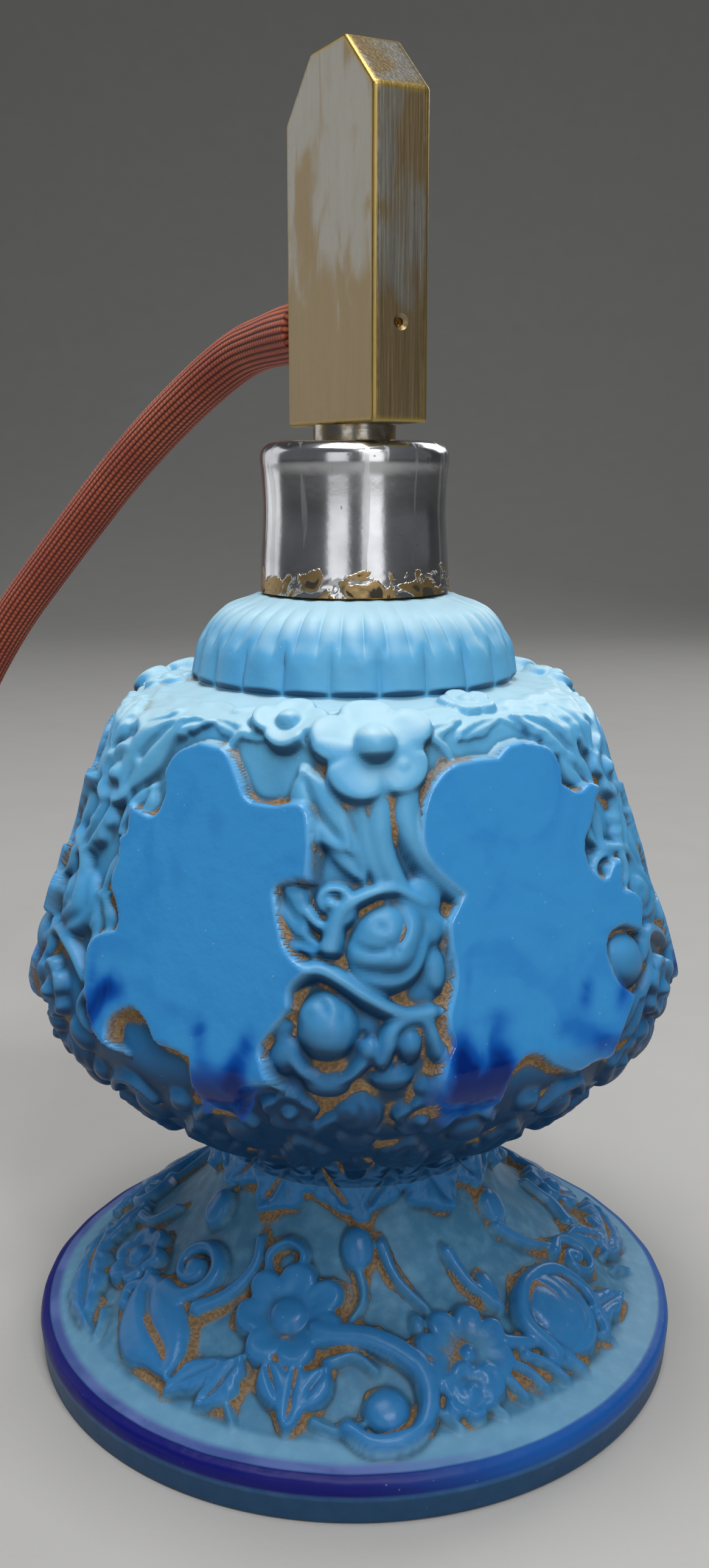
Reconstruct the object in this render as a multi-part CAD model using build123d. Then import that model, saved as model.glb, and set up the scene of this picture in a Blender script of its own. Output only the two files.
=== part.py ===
from build123d import *
import math
import os

# Perfume atomiser: a pressed glass bottle on a wide foot, a chromed screw collar, a flat brass
# spray head and a rubber squeeze bulb on a braided hose. Millimetres, +Z up, origin at the
# middle of the foot's underside, -Y towards the front corner of the bottle.

# Bottle
FOOT_R = 45.2
FOOT_RIM_H = 5.8
RING_IN_R = 40.2
RING_IN_Z = 7.2
STEM_R = 18.0
PANEL_APOTHEM = 44.2        # distance from the axis to a ground panel at PANEL_LOW_Z
PANEL_LOW_Z = 52.0
PANEL_TILT = 18.2           # degrees from vertical
BELLY_CORNER_R = 44.8
DOME_HEM_R = 21.3
DOME_HEM_Z = 94.6
DOME_TOP_Z = 105.1
NECK_R = 8.4
NECK_BORE_R = 6.2
NECK_TOP_Z = 113.0

# Neck fittings
CEMENT_T = 0.4
RING_R = 10.4
RING_FLANGE_R = 11.2
RING_FLANGE_T = 0.7
GASKET_T = 1.6
GASKET_R = 10.0
THREAD_CLEARANCE = 0.06

# Collar
COLLAR_LOW_Z = 105.3
COLLAR_TOP_Z = 124.5
COLLAR_LOW_R = 12.5
COLLAR_WAIST_R = 11.95
COLLAR_TOP_R = 12.3
COLLAR_BORE_R = 11.5

# Spray head
HEAD_TURN = 26.7            # degrees from +Y to the hose side, anticlockwise from above
HEAD_WIDE = 24.8
HEAD_THICK = 7.6
HEAD_LOW_Z = 126.5
HEAD_SHOULDER_Z = 164.5
HEAD_TOP_Z = 171.4
HEAD_RIDGE_IN = 7.6
SPRAY_Z = 138.2
STEM_FLANGE_R = 9.6
STEM_FLANGE_T = 2.0
STEM_OUT_R = 5.35
SPIGOT_R = 2.8
SPIGOT_TOP_Z = 133.0
CHAMBER_TOP_Z = 142.5
DIP_R = 1.25
DIP_BORE_R = 0.7
DIP_LOW_Z = 46.0
NIPPLE_THREAD_R = 1.8
NIPPLE_COLLAR_R = 3.2
NIPPLE_BORE_R = 0.8
JET_R = 1.5
JET_FACE_T = 1.2            # brass left in front of the jet
PIN_HOLE_R = 0.5
FINE_TUBE_R = 0.5

# Hose, from the nipple on the head to the bulb that lies on the table
HOSE_R = 3.7
HOSE_CORE_R = 2.4
HOSE_BORE_R = 1.6
HOSE_ROUTE = [
    (-6.0, 12.0, 139.4),
    (-10.8, 21.5, 139.4),
    (-18.5, 33.5, 137.6),
    (-35.0, 48.5, 124.6),
    (-50.5, 58.5, 107.5),
    (-63.0, 66.0, 93.0),
    (-73.5, 72.0, 75.5),
    (-84.5, 77.5, 58.5),
    (-98.0, 82.0, 47.2),
    (-112.0, 84.0, 40.6),
]

# Bulb: it lies on the table in line with the hose's last run. Distances along its axis are
# counted from the end of the hose.
BULB_R = 21.8
BULB_WALL = 2.2
NET_T = 0.6
BULB_NEAR = 9.0
BULB_FAR = 70.0
BULB_SHOULDER = 7.0
BULB_NECK_R = 5.6
VALVE_NECK_R = 3.4
VALVE_NECK_LEN = 8.0
VALVE_OUT_R = 5.2
VALVE_BORE_R = 1.7
VENT_R = 0.8
SEAT_DEPTH = 0.9            # the ball seats are 45 degree cones from the vent to the bore
BALL_R = 1.5
BALL_GAP = 0.07


def revolved(points):
    """A closed solid turned about Z from straight (r, z) points."""
    return revolve(make_face(Plane.XZ * Polyline(*points, close=True)), Axis.Z)


def along(origin, direction, solid):
    """The solid, made about +Z at the origin, moved so that +Z is the direction."""
    return Plane(origin=origin, z_dir=direction) * solid


def tube(outer, inner, low, high):
    """A straight tube about Z."""
    return revolved([(inner, low), (outer, low), (outer, high), (inner, high)])


def rod(radius, low, high):
    """A straight rod about Z."""
    return revolved([(0, low), (radius, low), (radius, high), (0, high)])


# Directions of the spray head: WIDE_DIR points from the nozzle side to the hose side
TURN = math.radians(HEAD_TURN)
WIDE_DIR = (-math.sin(TURN), math.cos(TURN), 0)
NOZZLE_DIR = (math.sin(TURN), -math.cos(TURN), 0)
HOSE_Z = HOSE_ROUTE[0][2]
HOSE_END = Vector(*HOSE_ROUTE[-1])
BULB_DIR = HOSE_END - Vector(*HOSE_ROUTE[-2])


def glass_bottle():
    """Foot, stem, six-sided tapered belly, dome and neck in one piece of pressed glass."""
    silhouette = [
        (0, 0), (FOOT_R - 0.8, 0), (FOOT_R - 0.3, 0.5), (FOOT_R, 4.6), (FOOT_R - 1.2, FOOT_RIM_H),
        (RING_IN_R, RING_IN_Z), (38.2, 9.2), (32.8, 13.4), (26.4, 17.6), (21.6, 22.4),
        (STEM_R + 0.6, 27.0), (STEM_R, 30.0), (STEM_R + 1.4, 33.0), (24.2, 35.4), (31.4, 38.8),
        (36.2, 43.0), (40.1, 47.0), (42.0, 50.6), (43.4, 54.0), (BELLY_CORNER_R, 59.0), (34.4, 90.0),
        (31.6, 92.8),
        (28.0, DOME_HEM_Z - 0.3), (DOME_HEM_R, DOME_HEM_Z), (20.5, 98.9), (18.8, 101.8),
        (16.4, 103.8), (13.5, DOME_TOP_Z), (NECK_R, DOME_TOP_Z), (NECK_R, NECK_TOP_Z),
        (0, NECK_TOP_Z),
    ]
    reservoir = [
        (0, 43.0), (18.0, 43.0), (28.0, 46.5), (34.0, 51.5), (34.5, 55.0), (24.5, 86.0),
        (18.0, 90.5), (NECK_BORE_R, 95.0), (NECK_BORE_R, NECK_TOP_Z + 1), (0, NECK_TOP_Z + 1),
    ]
    slope = math.tan(math.radians(PANEL_TILT))
    base_apothem = PANEL_APOTHEM + slope * PANEL_LOW_Z
    hexagon = RegularPolygon(base_apothem, 6, major_radius=False, rotation=30)
    ground_planes = extrude(hexagon, NECK_TOP_Z + 1, taper=PANEL_TILT)
    return (revolved(silhouette) & ground_planes) - revolved(reservoir)


def neck_cement():
    """The thin ring of plaster that holds the brass ring on the glass neck."""
    return tube(NECK_R + CEMENT_T, NECK_R, DOME_TOP_Z, NECK_TOP_Z)


def neck_ring():
    """The brass ring with the bottle's outside thread, and its foot flange."""
    inner = NECK_R + CEMENT_T
    return revolved([
        (inner, DOME_TOP_Z), (RING_FLANGE_R, DOME_TOP_Z), (RING_FLANGE_R, DOME_TOP_Z + RING_FLANGE_T),
        (RING_R, DOME_TOP_Z + RING_FLANGE_T), (RING_R, NECK_TOP_Z - 0.4), (RING_R - 0.4, NECK_TOP_Z),
        (inner, NECK_TOP_Z),
    ])


def neck_gasket():
    """The washer between the glass rim and the head's flange."""
    return tube(GASKET_R, NECK_BORE_R, NECK_TOP_Z, NECK_TOP_Z + GASKET_T)


FLANGE_LOW_Z = NECK_TOP_Z + GASKET_T
FLANGE_TOP_Z = FLANGE_LOW_Z + STEM_FLANGE_T


def stem_tube():
    """The brass stem under the head, with the flange that seals on the washer."""
    outside = revolved([
        (0, FLANGE_LOW_Z), (STEM_FLANGE_R, FLANGE_LOW_Z), (STEM_FLANGE_R, FLANGE_TOP_Z),
        (STEM_OUT_R, FLANGE_TOP_Z), (STEM_OUT_R, HEAD_LOW_Z), (SPIGOT_R, HEAD_LOW_Z),
        (SPIGOT_R, SPIGOT_TOP_Z), (0, SPIGOT_TOP_Z),
    ])
    air_way = rod(DIP_R + 0.65, FLANGE_LOW_Z - 1, SPIGOT_TOP_Z + 1)
    return outside - air_way


def dip_tube():
    """The tube that draws the perfume up from near the reservoir's floor."""
    return tube(DIP_R, DIP_BORE_R, DIP_LOW_Z, SPIGOT_TOP_Z)


def spray_core():
    """The plug in the head's chamber: it holds the dip tube and feeds the fine tube."""
    plug = rod(SPIGOT_R, SPIGOT_TOP_Z, CHAMBER_TOP_Z)
    rise = rod(DIP_BORE_R, SPIGOT_TOP_Z - 1, SPRAY_Z)
    bore = along((0, 0, SPRAY_Z), NOZZLE_DIR, rod(0.7, 0, SPIGOT_R + 1))
    air_slot = along((0, 0, HOSE_Z), WIDE_DIR, rod(1.0, 1.6, SPIGOT_R + 1))
    air_drop = Pos(WIDE_DIR[0] * 2.1, WIDE_DIR[1] * 2.1) * rod(0.45, SPIGOT_TOP_Z - 1, SPRAY_Z)
    return plug - rise - bore - air_slot - air_drop


def head_block():
    """The flat brass head with its chamfered crown, bored for the stem, air and spray."""
    half = HEAD_WIDE / 2
    crown = half - HEAD_RIDGE_IN
    outline = Polyline(
        (-half, HEAD_LOW_Z), (half, HEAD_LOW_Z), (half, HEAD_SHOULDER_Z), (crown, HEAD_TOP_Z),
        (-crown, HEAD_TOP_Z), (-half, HEAD_SHOULDER_Z), close=True,
    )
    face = Plane.YZ * make_face(outline)
    block = Rot(0, 0, HEAD_TURN) * extrude(face, HEAD_THICK / 2, both=True)
    chamber = rod(SPIGOT_R, HEAD_LOW_Z - 1, CHAMBER_TOP_Z)
    inlet = along((0, 0, HOSE_Z), WIDE_DIR, rod(NIPPLE_THREAD_R, 0, half + 1))
    jet_way = along((0, 0, SPRAY_Z), NOZZLE_DIR, rod(JET_R, 0, half - JET_FACE_T))
    pin_hole = along((0, 0, SPRAY_Z), NOZZLE_DIR, rod(PIN_HOLE_R, 0, half + 1))
    return block - chamber - inlet - jet_way - pin_hole


def nozzle_jet():
    """The jet behind the pin hole: air flows round the fine tube and out through its tip."""
    near = SPIGOT_R + 0.5
    far = HEAD_WIDE / 2 - JET_FACE_T
    solid = revolved([
        (0.8, near), (JET_R, near), (JET_R, far), (0.35, far), (0.35, far - 0.8), (0.8, far - 2.0),
    ])
    return along((0, 0, SPRAY_Z), NOZZLE_DIR, solid)


def fine_tube():
    """The capillary that carries the perfume from the core to the jet's throat."""
    solid = tube(FINE_TUBE_R, FINE_TUBE_R / 2, 0.8, HEAD_WIDE / 2 - JET_FACE_T - 2.2)
    return along((0, 0, SPRAY_Z), NOZZLE_DIR, solid)


def hose_nipple():
    """The brass nipple screwed into the hose side of the head, with a tail for the hose."""
    face = HEAD_WIDE / 2
    collar_end = math.hypot(HOSE_ROUTE[0][0], HOSE_ROUTE[0][1])
    tail_end = collar_end + 5.0
    tail_r = HOSE_BORE_R - 0.05
    solid = revolved([
        (NIPPLE_BORE_R, SPIGOT_R + 0.4), (NIPPLE_THREAD_R, SPIGOT_R + 0.4),
        (NIPPLE_THREAD_R, face), (NIPPLE_COLLAR_R, face), (NIPPLE_COLLAR_R, collar_end),
        (tail_r, collar_end), (tail_r, tail_end - 0.6), (1.3, tail_end),
        (NIPPLE_BORE_R, tail_end),
    ])
    return along((0, 0, HOSE_Z), WIDE_DIR, solid)


COLLAR_LIP_Z = FLANGE_TOP_Z + 0.1


def collar_cap():
    """The chromed sleeve that shows: waisted, with a rolled shoulder and a hole for the stem."""
    outer = [
        (COLLAR_LOW_R, COLLAR_LOW_Z), (COLLAR_LOW_R - 0.2, COLLAR_LOW_Z + 4.0),
        (COLLAR_WAIST_R, COLLAR_LOW_Z + 10.0), (COLLAR_TOP_R - 0.1, COLLAR_TOP_Z - 3.2),
        (COLLAR_TOP_R, COLLAR_TOP_Z - 2.0), (COLLAR_TOP_R - 0.5, COLLAR_TOP_Z - 0.7),
        (COLLAR_TOP_R - 2.0, COLLAR_TOP_Z), (STEM_OUT_R + 0.08, COLLAR_TOP_Z),
    ]
    inner = [
        (STEM_OUT_R + 0.08, COLLAR_TOP_Z - 0.8), (COLLAR_BORE_R - 1.2, COLLAR_TOP_Z - 0.8),
        (COLLAR_BORE_R, COLLAR_TOP_Z - 2.4), (COLLAR_BORE_R, COLLAR_LOW_Z),
    ]
    return revolved(outer + inner)


def collar_insert():
    """The brass lining with the collar's inside thread; its lip pulls the flange down."""
    thread_r = RING_R + THREAD_CLEARANCE
    low = DOME_TOP_Z + 1.2
    return revolved([
        (thread_r, low), (COLLAR_BORE_R, low), (COLLAR_BORE_R, COLLAR_LIP_Z + 2.0),
        (6.2, COLLAR_LIP_Z + 2.0), (6.2, COLLAR_LIP_Z), (thread_r, COLLAR_LIP_Z),
    ])


def route_path():
    """The hose's centreline: straight runs joined by arcs as large as the runs allow."""
    points = [Vector(*p) for p in HOSE_ROUTE]
    radii = []
    for before, here, after in zip(points, points[1:], points[2:]):
        run_in = here - before
        run_out = after - here
        turn = math.radians(run_in.get_angle(run_out))
        radii.append(0.45 * min(run_in.length, run_out.length) / math.tan(turn / 2))
    print("hose arc radii", [round(r, 1) for r in radii])
    return FilletPolyline(*HOSE_ROUTE, radius=radii)


def hose_solid(outer_r, inner_r, name):
    """One layer of the hose, swept along the route."""
    path = route_path()
    section = Plane(origin=path @ 0, z_dir=path % 0)
    outer = sweep(section * Circle(outer_r), path)
    inner = sweep(section * Circle(inner_r), path)
    solid = outer - inner
    expected = math.pi * (outer_r ** 2 - inner_r ** 2) * path.length
    print(name, "length", round(path.length, 1), "volume share", round(solid.volume / expected, 4))
    return solid


def on_bulb_axis(solid):
    """Moves a solid made about +Z so that it runs on from the end of the hose."""
    return along(HOSE_END, BULB_DIR, solid)


def bulb_form(grow):
    """The bulb's outer form with its two necks, grown by some thickness, solid through."""
    near = BULB_NEAR + BULB_SHOULDER - 0.8 * grow
    far = BULB_FAR - BULB_SHOULDER + 0.8 * grow
    middle = (near + far) / 2
    neck = BULB_NECK_R + grow
    wide = BULB_R + grow
    swell = Bezier((neck, near), (neck + 9.0, near + 1.0), (wide, near + 8.0), (wide, middle))
    close_in = Bezier((wide, middle), (wide, far - 8.0), (neck + 9.0, far - 1.0), (neck, far))
    ends = Polyline(
        (neck, far), (neck, BULB_FAR), (0, BULB_FAR), (0, BULB_NEAR), (neck, BULB_NEAR),
        (neck, near),
    )
    return revolve(make_face(Plane.XZ * (swell + close_in + ends)), Axis.Z)


def bulb_rubber():
    """The hollow rubber bulb with a neck at each end."""
    hollow = bulb_form(-BULB_WALL)
    bore = rod(VALVE_NECK_R, BULB_NEAR - 1, BULB_FAR + 1)
    return on_bulb_axis(bulb_form(0) - hollow - bore)


def bulb_net():
    """The knitted net drawn over the bulb and its necks."""
    return on_bulb_axis(bulb_form(NET_T) - bulb_form(0))


OUTLET_SEAT = BULB_NEAR - 3.0
INLET_SEAT = BULB_FAR + 0.6


def outlet_valve_body():
    """The metal fitting between the bulb and the hose: tail, flange, ball seat and neck."""
    neck_end = BULB_NEAR + VALVE_NECK_LEN
    tail_r = HOSE_BORE_R - 0.05
    return on_bulb_axis(revolved([
        (VENT_R, -5.4), (1.3, -5.4), (tail_r, -4.8), (tail_r, 0), (4.2, 0), (4.2, 1.6),
        (VALVE_OUT_R, 2.2), (VALVE_OUT_R, BULB_NEAR), (VALVE_NECK_R, BULB_NEAR),
        (VALVE_NECK_R, neck_end), (VENT_R, neck_end), (VENT_R, OUTLET_SEAT),
        (VALVE_BORE_R, OUTLET_SEAT - SEAT_DEPTH), (VALVE_BORE_R, 1.2), (VENT_R, 1.2),
    ]))


def inlet_valve_body():
    """The metal plug in the bulb's far neck, with a vent and the seat of the inlet ball."""
    neck_end = BULB_FAR - VALVE_NECK_LEN
    cage_end = INLET_SEAT - 5.6
    return on_bulb_axis(revolved([
        (VENT_R, neck_end), (VALVE_NECK_R, neck_end), (VALVE_NECK_R, BULB_FAR),
        (VALVE_OUT_R, BULB_FAR), (VALVE_OUT_R, BULB_FAR + 3.4),
        (VALVE_OUT_R - 1.6, BULB_FAR + 4.6), (VENT_R, BULB_FAR + 4.6), (VENT_R, INLET_SEAT),
        (VALVE_BORE_R, INLET_SEAT - SEAT_DEPTH), (VALVE_BORE_R, cage_end), (VENT_R, cage_end),
    ]))


def check_ball(seat):
    """A small steel ball just off its conical seat, on the hose side of it."""
    touching = seat + VENT_R - math.sqrt(2) * BALL_R
    return on_bulb_axis(Pos(0, 0, touching - BALL_GAP) * Sphere(BALL_R))


def neck_ferrule(low, high):
    """The metal band crimped round a neck of the bulb over its net."""
    inner = BULB_NECK_R + NET_T
    return on_bulb_axis(revolved([
        (inner, low), (inner + 0.7, low), (inner + 0.9, (low + high) / 2), (inner + 0.7, high),
        (inner, high),
    ]))


nodes = {
    "glass_bottle": glass_bottle(),
    "neck_cement": neck_cement(),
    "neck_ring": neck_ring(),
    "neck_gasket": neck_gasket(),
    "stem_tube": stem_tube(),
    "dip_tube": dip_tube(),
    "spray_core": spray_core(),
    "head_block": head_block(),
    "nozzle_jet": nozzle_jet(),
    "fine_tube": fine_tube(),
    "hose_nipple": hose_nipple(),
    "collar_cap": collar_cap(),
    "collar_insert": collar_insert(),
    "hose_core": hose_solid(HOSE_CORE_R, HOSE_BORE_R, "hose_core"),
    "hose_braid": hose_solid(HOSE_R, HOSE_CORE_R, "hose_braid"),
    "outlet_valve_body": outlet_valve_body(),
    "outlet_ball": check_ball(OUTLET_SEAT),
    "outlet_ferrule": neck_ferrule(BULB_NEAR + 0.5, BULB_NEAR + 5.5),
    "bulb_rubber": bulb_rubber(),
    "bulb_net": bulb_net(),
    "inlet_ferrule": neck_ferrule(BULB_FAR - 5.5, BULB_FAR - 0.5),
    "inlet_valve_body": inlet_valve_body(),
    "inlet_ball": check_ball(INLET_SEAT),
}

os.makedirs("parts", exist_ok=True)
for node, solid in nodes.items():
    solid.label = node
    export_step(solid, f"parts/{node}.step")
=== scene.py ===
import math
import bmesh
import bpy
import numpy as np
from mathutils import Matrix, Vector


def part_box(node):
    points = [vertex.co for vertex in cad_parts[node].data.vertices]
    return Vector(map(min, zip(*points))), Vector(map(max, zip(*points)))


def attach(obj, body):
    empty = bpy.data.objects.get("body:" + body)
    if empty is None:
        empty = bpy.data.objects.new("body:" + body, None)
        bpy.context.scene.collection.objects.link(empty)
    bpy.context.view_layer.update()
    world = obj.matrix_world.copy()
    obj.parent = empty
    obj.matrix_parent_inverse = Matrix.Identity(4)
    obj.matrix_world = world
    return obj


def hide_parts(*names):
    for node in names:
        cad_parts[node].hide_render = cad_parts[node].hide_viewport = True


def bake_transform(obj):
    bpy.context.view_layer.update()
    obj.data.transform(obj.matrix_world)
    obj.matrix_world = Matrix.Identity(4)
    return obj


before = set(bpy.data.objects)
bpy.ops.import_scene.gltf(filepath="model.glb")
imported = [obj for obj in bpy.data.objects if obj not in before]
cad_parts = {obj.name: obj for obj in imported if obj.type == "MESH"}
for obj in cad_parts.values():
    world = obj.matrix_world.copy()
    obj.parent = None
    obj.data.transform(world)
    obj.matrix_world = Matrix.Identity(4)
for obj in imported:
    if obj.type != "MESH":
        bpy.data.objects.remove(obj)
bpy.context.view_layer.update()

# ---------------------------------------------------------------------------
# Camera
# It stands close in front of the bottle's front corner, a little above the
# belly, and looks slightly down.
# ---------------------------------------------------------------------------
camera_data = bpy.data.cameras.new("camera")
camera_data.lens = 32.607
camera_data.sensor_width = 36
camera = bpy.data.objects.new("camera", camera_data)
camera.location = (0, -0.189044, 0.120431)
camera.rotation_euler = (math.radians(90 - 12.334), 0, 0)
bpy.context.scene.collection.objects.link(camera)
bpy.context.scene.camera = camera

# ---------------------------------------------------------------------------
# Hose
# A rubber air tube in a woven rust-coloured cotton sleeve, 7.4 mm across. It is
# pushed over the nipple on the head and over the tail of the bulb's valve.
# ---------------------------------------------------------------------------
HOSE_LENGTH = 0.172
HOSE_R = 0.0037
HOSE_SWELL = 0.00035          # the sleeve stands out where it is stretched over a tail
HOSE_RIBS = 26
RIB_HIGH = 0.00022
STITCH_PITCH = 0.00085
HOSE_STEP = 0.00022
HOSE_ROUTE = [
    (-0.0060, 0.0120, 0.1394), (-0.0108, 0.0215, 0.1394), (-0.0185, 0.0335, 0.1376),
    (-0.0350, 0.0485, 0.1246), (-0.0505, 0.0585, 0.1075), (-0.0630, 0.0660, 0.0930),
    (-0.0735, 0.0720, 0.0755), (-0.0845, 0.0775, 0.0585), (-0.0980, 0.0820, 0.0472),
    (-0.1120, 0.0840, 0.0406),
]


def linear(colour):
    """A colour such as "#5aa0cf" as the three linear values that a shader takes."""
    shares = [int(colour[i:i + 2], 16) / 255 for i in (1, 3, 5)]
    return [s / 12.92 if s <= 0.04045 else ((s + 0.055) / 1.055) ** 2.4 for s in shares]


class Finish:
    """A finish mixed from patterns in the material's own space. Each method gives a socket."""

    def __init__(self, name, rough, metal=0.0, **sockets):
        self.material = bpy.data.materials.new(name)
        self.material.use_nodes = True
        self.tree = self.material.node_tree
        self.shader = self.tree.nodes["Principled BSDF"]
        self.place = self.tree.nodes.new("ShaderNodeTexCoord").outputs["Object"]
        self.set("Roughness", rough)
        self.set("Metallic", metal)
        for socket, value in sockets.items():
            self.set(socket.replace("_", " "), value)

    def feed(self, socket, value):
        """Puts a value, a colour or another node's output into a socket."""
        if isinstance(value, bpy.types.NodeSocket):
            self.tree.links.new(value, socket)
        elif isinstance(value, str):
            socket.default_value = (*linear(value), 1)
        else:
            socket.default_value = value

    def set(self, socket, value):
        self.feed(self.shader.inputs[socket], value)

    def stretched(self, *shares):
        """Places scaled along X, Y and Z, for a pattern that runs in one direction."""
        node = self.tree.nodes.new("ShaderNodeVectorMath")
        node.operation = "MULTIPLY"
        self.feed(node.inputs[0], self.place)
        node.inputs[1].default_value = shares
        return node.outputs[0]

    def noise(self, size, detail=3.0, warp=0.0, place=None):
        """Cloudy noise whose patches are about this many metres across."""
        node = self.tree.nodes.new("ShaderNodeTexNoise")
        self.feed(node.inputs["Vector"], place or self.place)
        node.inputs["Scale"].default_value = 1 / size
        node.inputs["Detail"].default_value = detail
        node.inputs["Distortion"].default_value = warp
        return node.outputs["Fac"]

    def cells(self, size, place=None):
        """Distance to the nearest of many scattered points, about this many metres apart."""
        node = self.tree.nodes.new("ShaderNodeTexVoronoi")
        self.feed(node.inputs["Vector"], place or self.place)
        node.inputs["Scale"].default_value = 1 / size
        return node.outputs["Distance"]

    def up(self):
        """How high each point is, in metres."""
        node = self.tree.nodes.new("ShaderNodeSeparateXYZ")
        self.feed(node.inputs[0], self.place)
        return node.outputs["Z"]

    def grown(self, name):
        """A value stored on the mesh's points."""
        node = self.tree.nodes.new("ShaderNodeAttribute")
        node.attribute_name = name
        return node.outputs["Fac"]

    def step(self, value, low, high):
        """0 below low, 1 above high and smooth between."""
        node = self.tree.nodes.new("ShaderNodeMapRange")
        node.interpolation_type = "SMOOTHSTEP"
        self.feed(node.inputs["Value"], value)
        node.inputs["From Min"].default_value = low
        node.inputs["From Max"].default_value = high
        return node.outputs["Result"]

    def sum(self, how, a, b):
        node = self.tree.nodes.new("ShaderNodeMath")
        node.operation = how
        self.feed(node.inputs[0], a)
        self.feed(node.inputs[1], b)
        return node.outputs[0]

    def add(self, a, b):
        return self.sum("ADD", a, b)

    def both(self, a, b):
        return self.sum("MULTIPLY", a, b)

    def larger(self, a, b):
        return self.sum("MAXIMUM", a, b)

    def without(self, value):
        """1 where the value is 0, and 0 where it is 1."""
        return self.sum("SUBTRACT", 1, value)

    def ragged(self, noise, strength):
        """A noise as a number that goes as far below 0 as above it."""
        return self.both(self.sum("SUBTRACT", noise, 0.5), strength)

    def blend(self, share, a, b):
        """Colour a where the share is 0 and colour b where it is 1."""
        node = self.tree.nodes.new("ShaderNodeMix")
        node.data_type = "RGBA"
        self.feed(node.inputs["Factor"], share)
        self.feed(node.inputs[6], a)
        self.feed(node.inputs[7], b)
        return node.outputs[2]

    def over(self, share, strength, under, colour):
        """A colour laid over another: as much of it as the share says, times a strength."""
        return self.blend(self.both(share, strength), under, colour)

    def between(self, share, low, high):
        """A number that runs from low to high with the share."""
        node = self.tree.nodes.new("ShaderNodeMapRange")
        self.feed(node.inputs["Value"], share)
        node.inputs["To Min"].default_value = low
        node.inputs["To Max"].default_value = high
        return node.outputs["Result"]

    def bump(self, height, depth, under=None):
        """Fine unevenness this many metres deep."""
        node = self.tree.nodes.new("ShaderNodeBump")
        node.inputs["Distance"].default_value = depth
        self.feed(node.inputs["Height"], height)
        if under:
            self.feed(node.inputs["Normal"], under)
        return node.outputs["Normal"]


def grid_piece(name, grid, around=True, close_ends=False):
    """A mesh from rows of points. Each row closes on itself, and a row may be a single spot."""
    rows, columns = grid.shape[:2]
    index = np.arange(rows * columns).reshape(rows, columns)
    if around:
        index = np.concatenate([index, index[:, :1]], axis=1)
    quads = np.stack([index[:-1, :-1], index[:-1, 1:], index[1:, 1:], index[1:, :-1]], axis=-1)
    quads = quads.reshape(-1, 4)
    caps = [index[0, :-1][::-1], index[-1, :-1]] if close_ends else []
    corners = np.concatenate([quads.ravel()] + caps)
    sizes = [4] * len(quads) + [len(cap) for cap in caps]
    mesh = bpy.data.meshes.new(name)
    mesh.vertices.add(rows * columns)
    mesh.vertices.foreach_set("co", grid.reshape(-1))
    mesh.loops.add(len(corners))
    mesh.loops.foreach_set("vertex_index", corners)
    mesh.polygons.add(len(sizes))
    mesh.polygons.foreach_set("loop_start", np.concatenate([[0], np.cumsum(sizes)[:-1]]))
    mesh.polygons.foreach_set("use_smooth", np.ones(len(sizes), bool))
    mesh.update(calc_edges=True)
    mesh.validate()
    piece = bpy.data.objects.new(name, mesh)
    bpy.context.scene.collection.objects.link(piece)
    return piece


def mark(piece, name, values):
    """Stores one value for each of the piece's points, which its finish can read."""
    layer = piece.data.attributes.new(name, "FLOAT", "POINT")
    layer.data.foreach_set("value", np.ascontiguousarray(values, np.float32).ravel())


def smooth(value, low, high):
    """0 below low, 1 above high and smooth between."""
    share = np.clip((value - low) / (high - low), 0, 1)
    return share * share * (3 - 2 * share)


def evenly(points, step):
    """Points about one step apart along a line through these points."""
    points = np.asarray(points, float)
    far = np.concatenate([[0], np.cumsum(np.linalg.norm(np.diff(points, axis=0), axis=1))])
    places = np.linspace(0, far[-1], max(2, round(far[-1] / step) + 1))
    return np.stack([np.interp(places, far, axis) for axis in points.T], axis=1)


route = bpy.data.curves.new("hose_route", "CURVE")
route.dimensions = "3D"
route.resolution_u = 40
spline = route.splines.new("NURBS")
spline.points.add(len(HOSE_ROUTE) - 1)
for point, place in zip(spline.points, HOSE_ROUTE):
    point.co = (*place, 1)
spline.order_u = 3
spline.use_endpoint_u = True
route_object = bpy.data.objects.new("hose_route", route)
bpy.context.scene.collection.objects.link(route_object)
route_mesh = bpy.data.meshes.new_from_object(route_object)
hose_line = evenly([vertex.co for vertex in route_mesh.vertices], HOSE_STEP)
bpy.data.objects.remove(route_object)


def ring_frames(line):
    """Two directions across a line at each of its points, which don't twist along it."""
    ahead = np.gradient(line, axis=0)
    ahead /= np.linalg.norm(ahead, axis=1)[:, None]
    side = np.cross(ahead[0], (0, 0, 1.0))
    sides = []
    for direction in ahead:
        side = side - direction * side.dot(direction)
        side = side / np.linalg.norm(side)
        sides.append(side)
    sides = np.array(sides)
    return sides, np.cross(ahead, sides)


hose_far = np.linspace(0, HOSE_LENGTH, len(hose_line))[:, None]
hose_turn = np.linspace(0, 2 * math.pi, HOSE_RIBS * 8, endpoint=False)[None, :]
rib = np.abs(np.cos(hose_turn * HOSE_RIBS / 2))
rib_number = np.floor(hose_turn * HOSE_RIBS / (2 * math.pi) + 0.5)
stitch = np.cos(2 * math.pi * hose_far / STITCH_PITCH + rib_number * math.pi)
weave = rib ** 0.7 * (0.78 + 0.22 * stitch)
on_tail = np.exp(-(hose_far / 0.011) ** 4) + 0.6 * np.exp(-((hose_far - HOSE_LENGTH) / 0.006) ** 4)
from_end = np.minimum(hose_far, HOSE_LENGTH - hose_far)
turned_in = 1 - 0.3 * (1 - smooth(from_end, 0, 0.0009))
hose_radius = (HOSE_R - RIB_HIGH + HOSE_SWELL * on_tail + RIB_HIGH * weave) * turned_in
hose_side, hose_up = ring_frames(hose_line)
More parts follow.
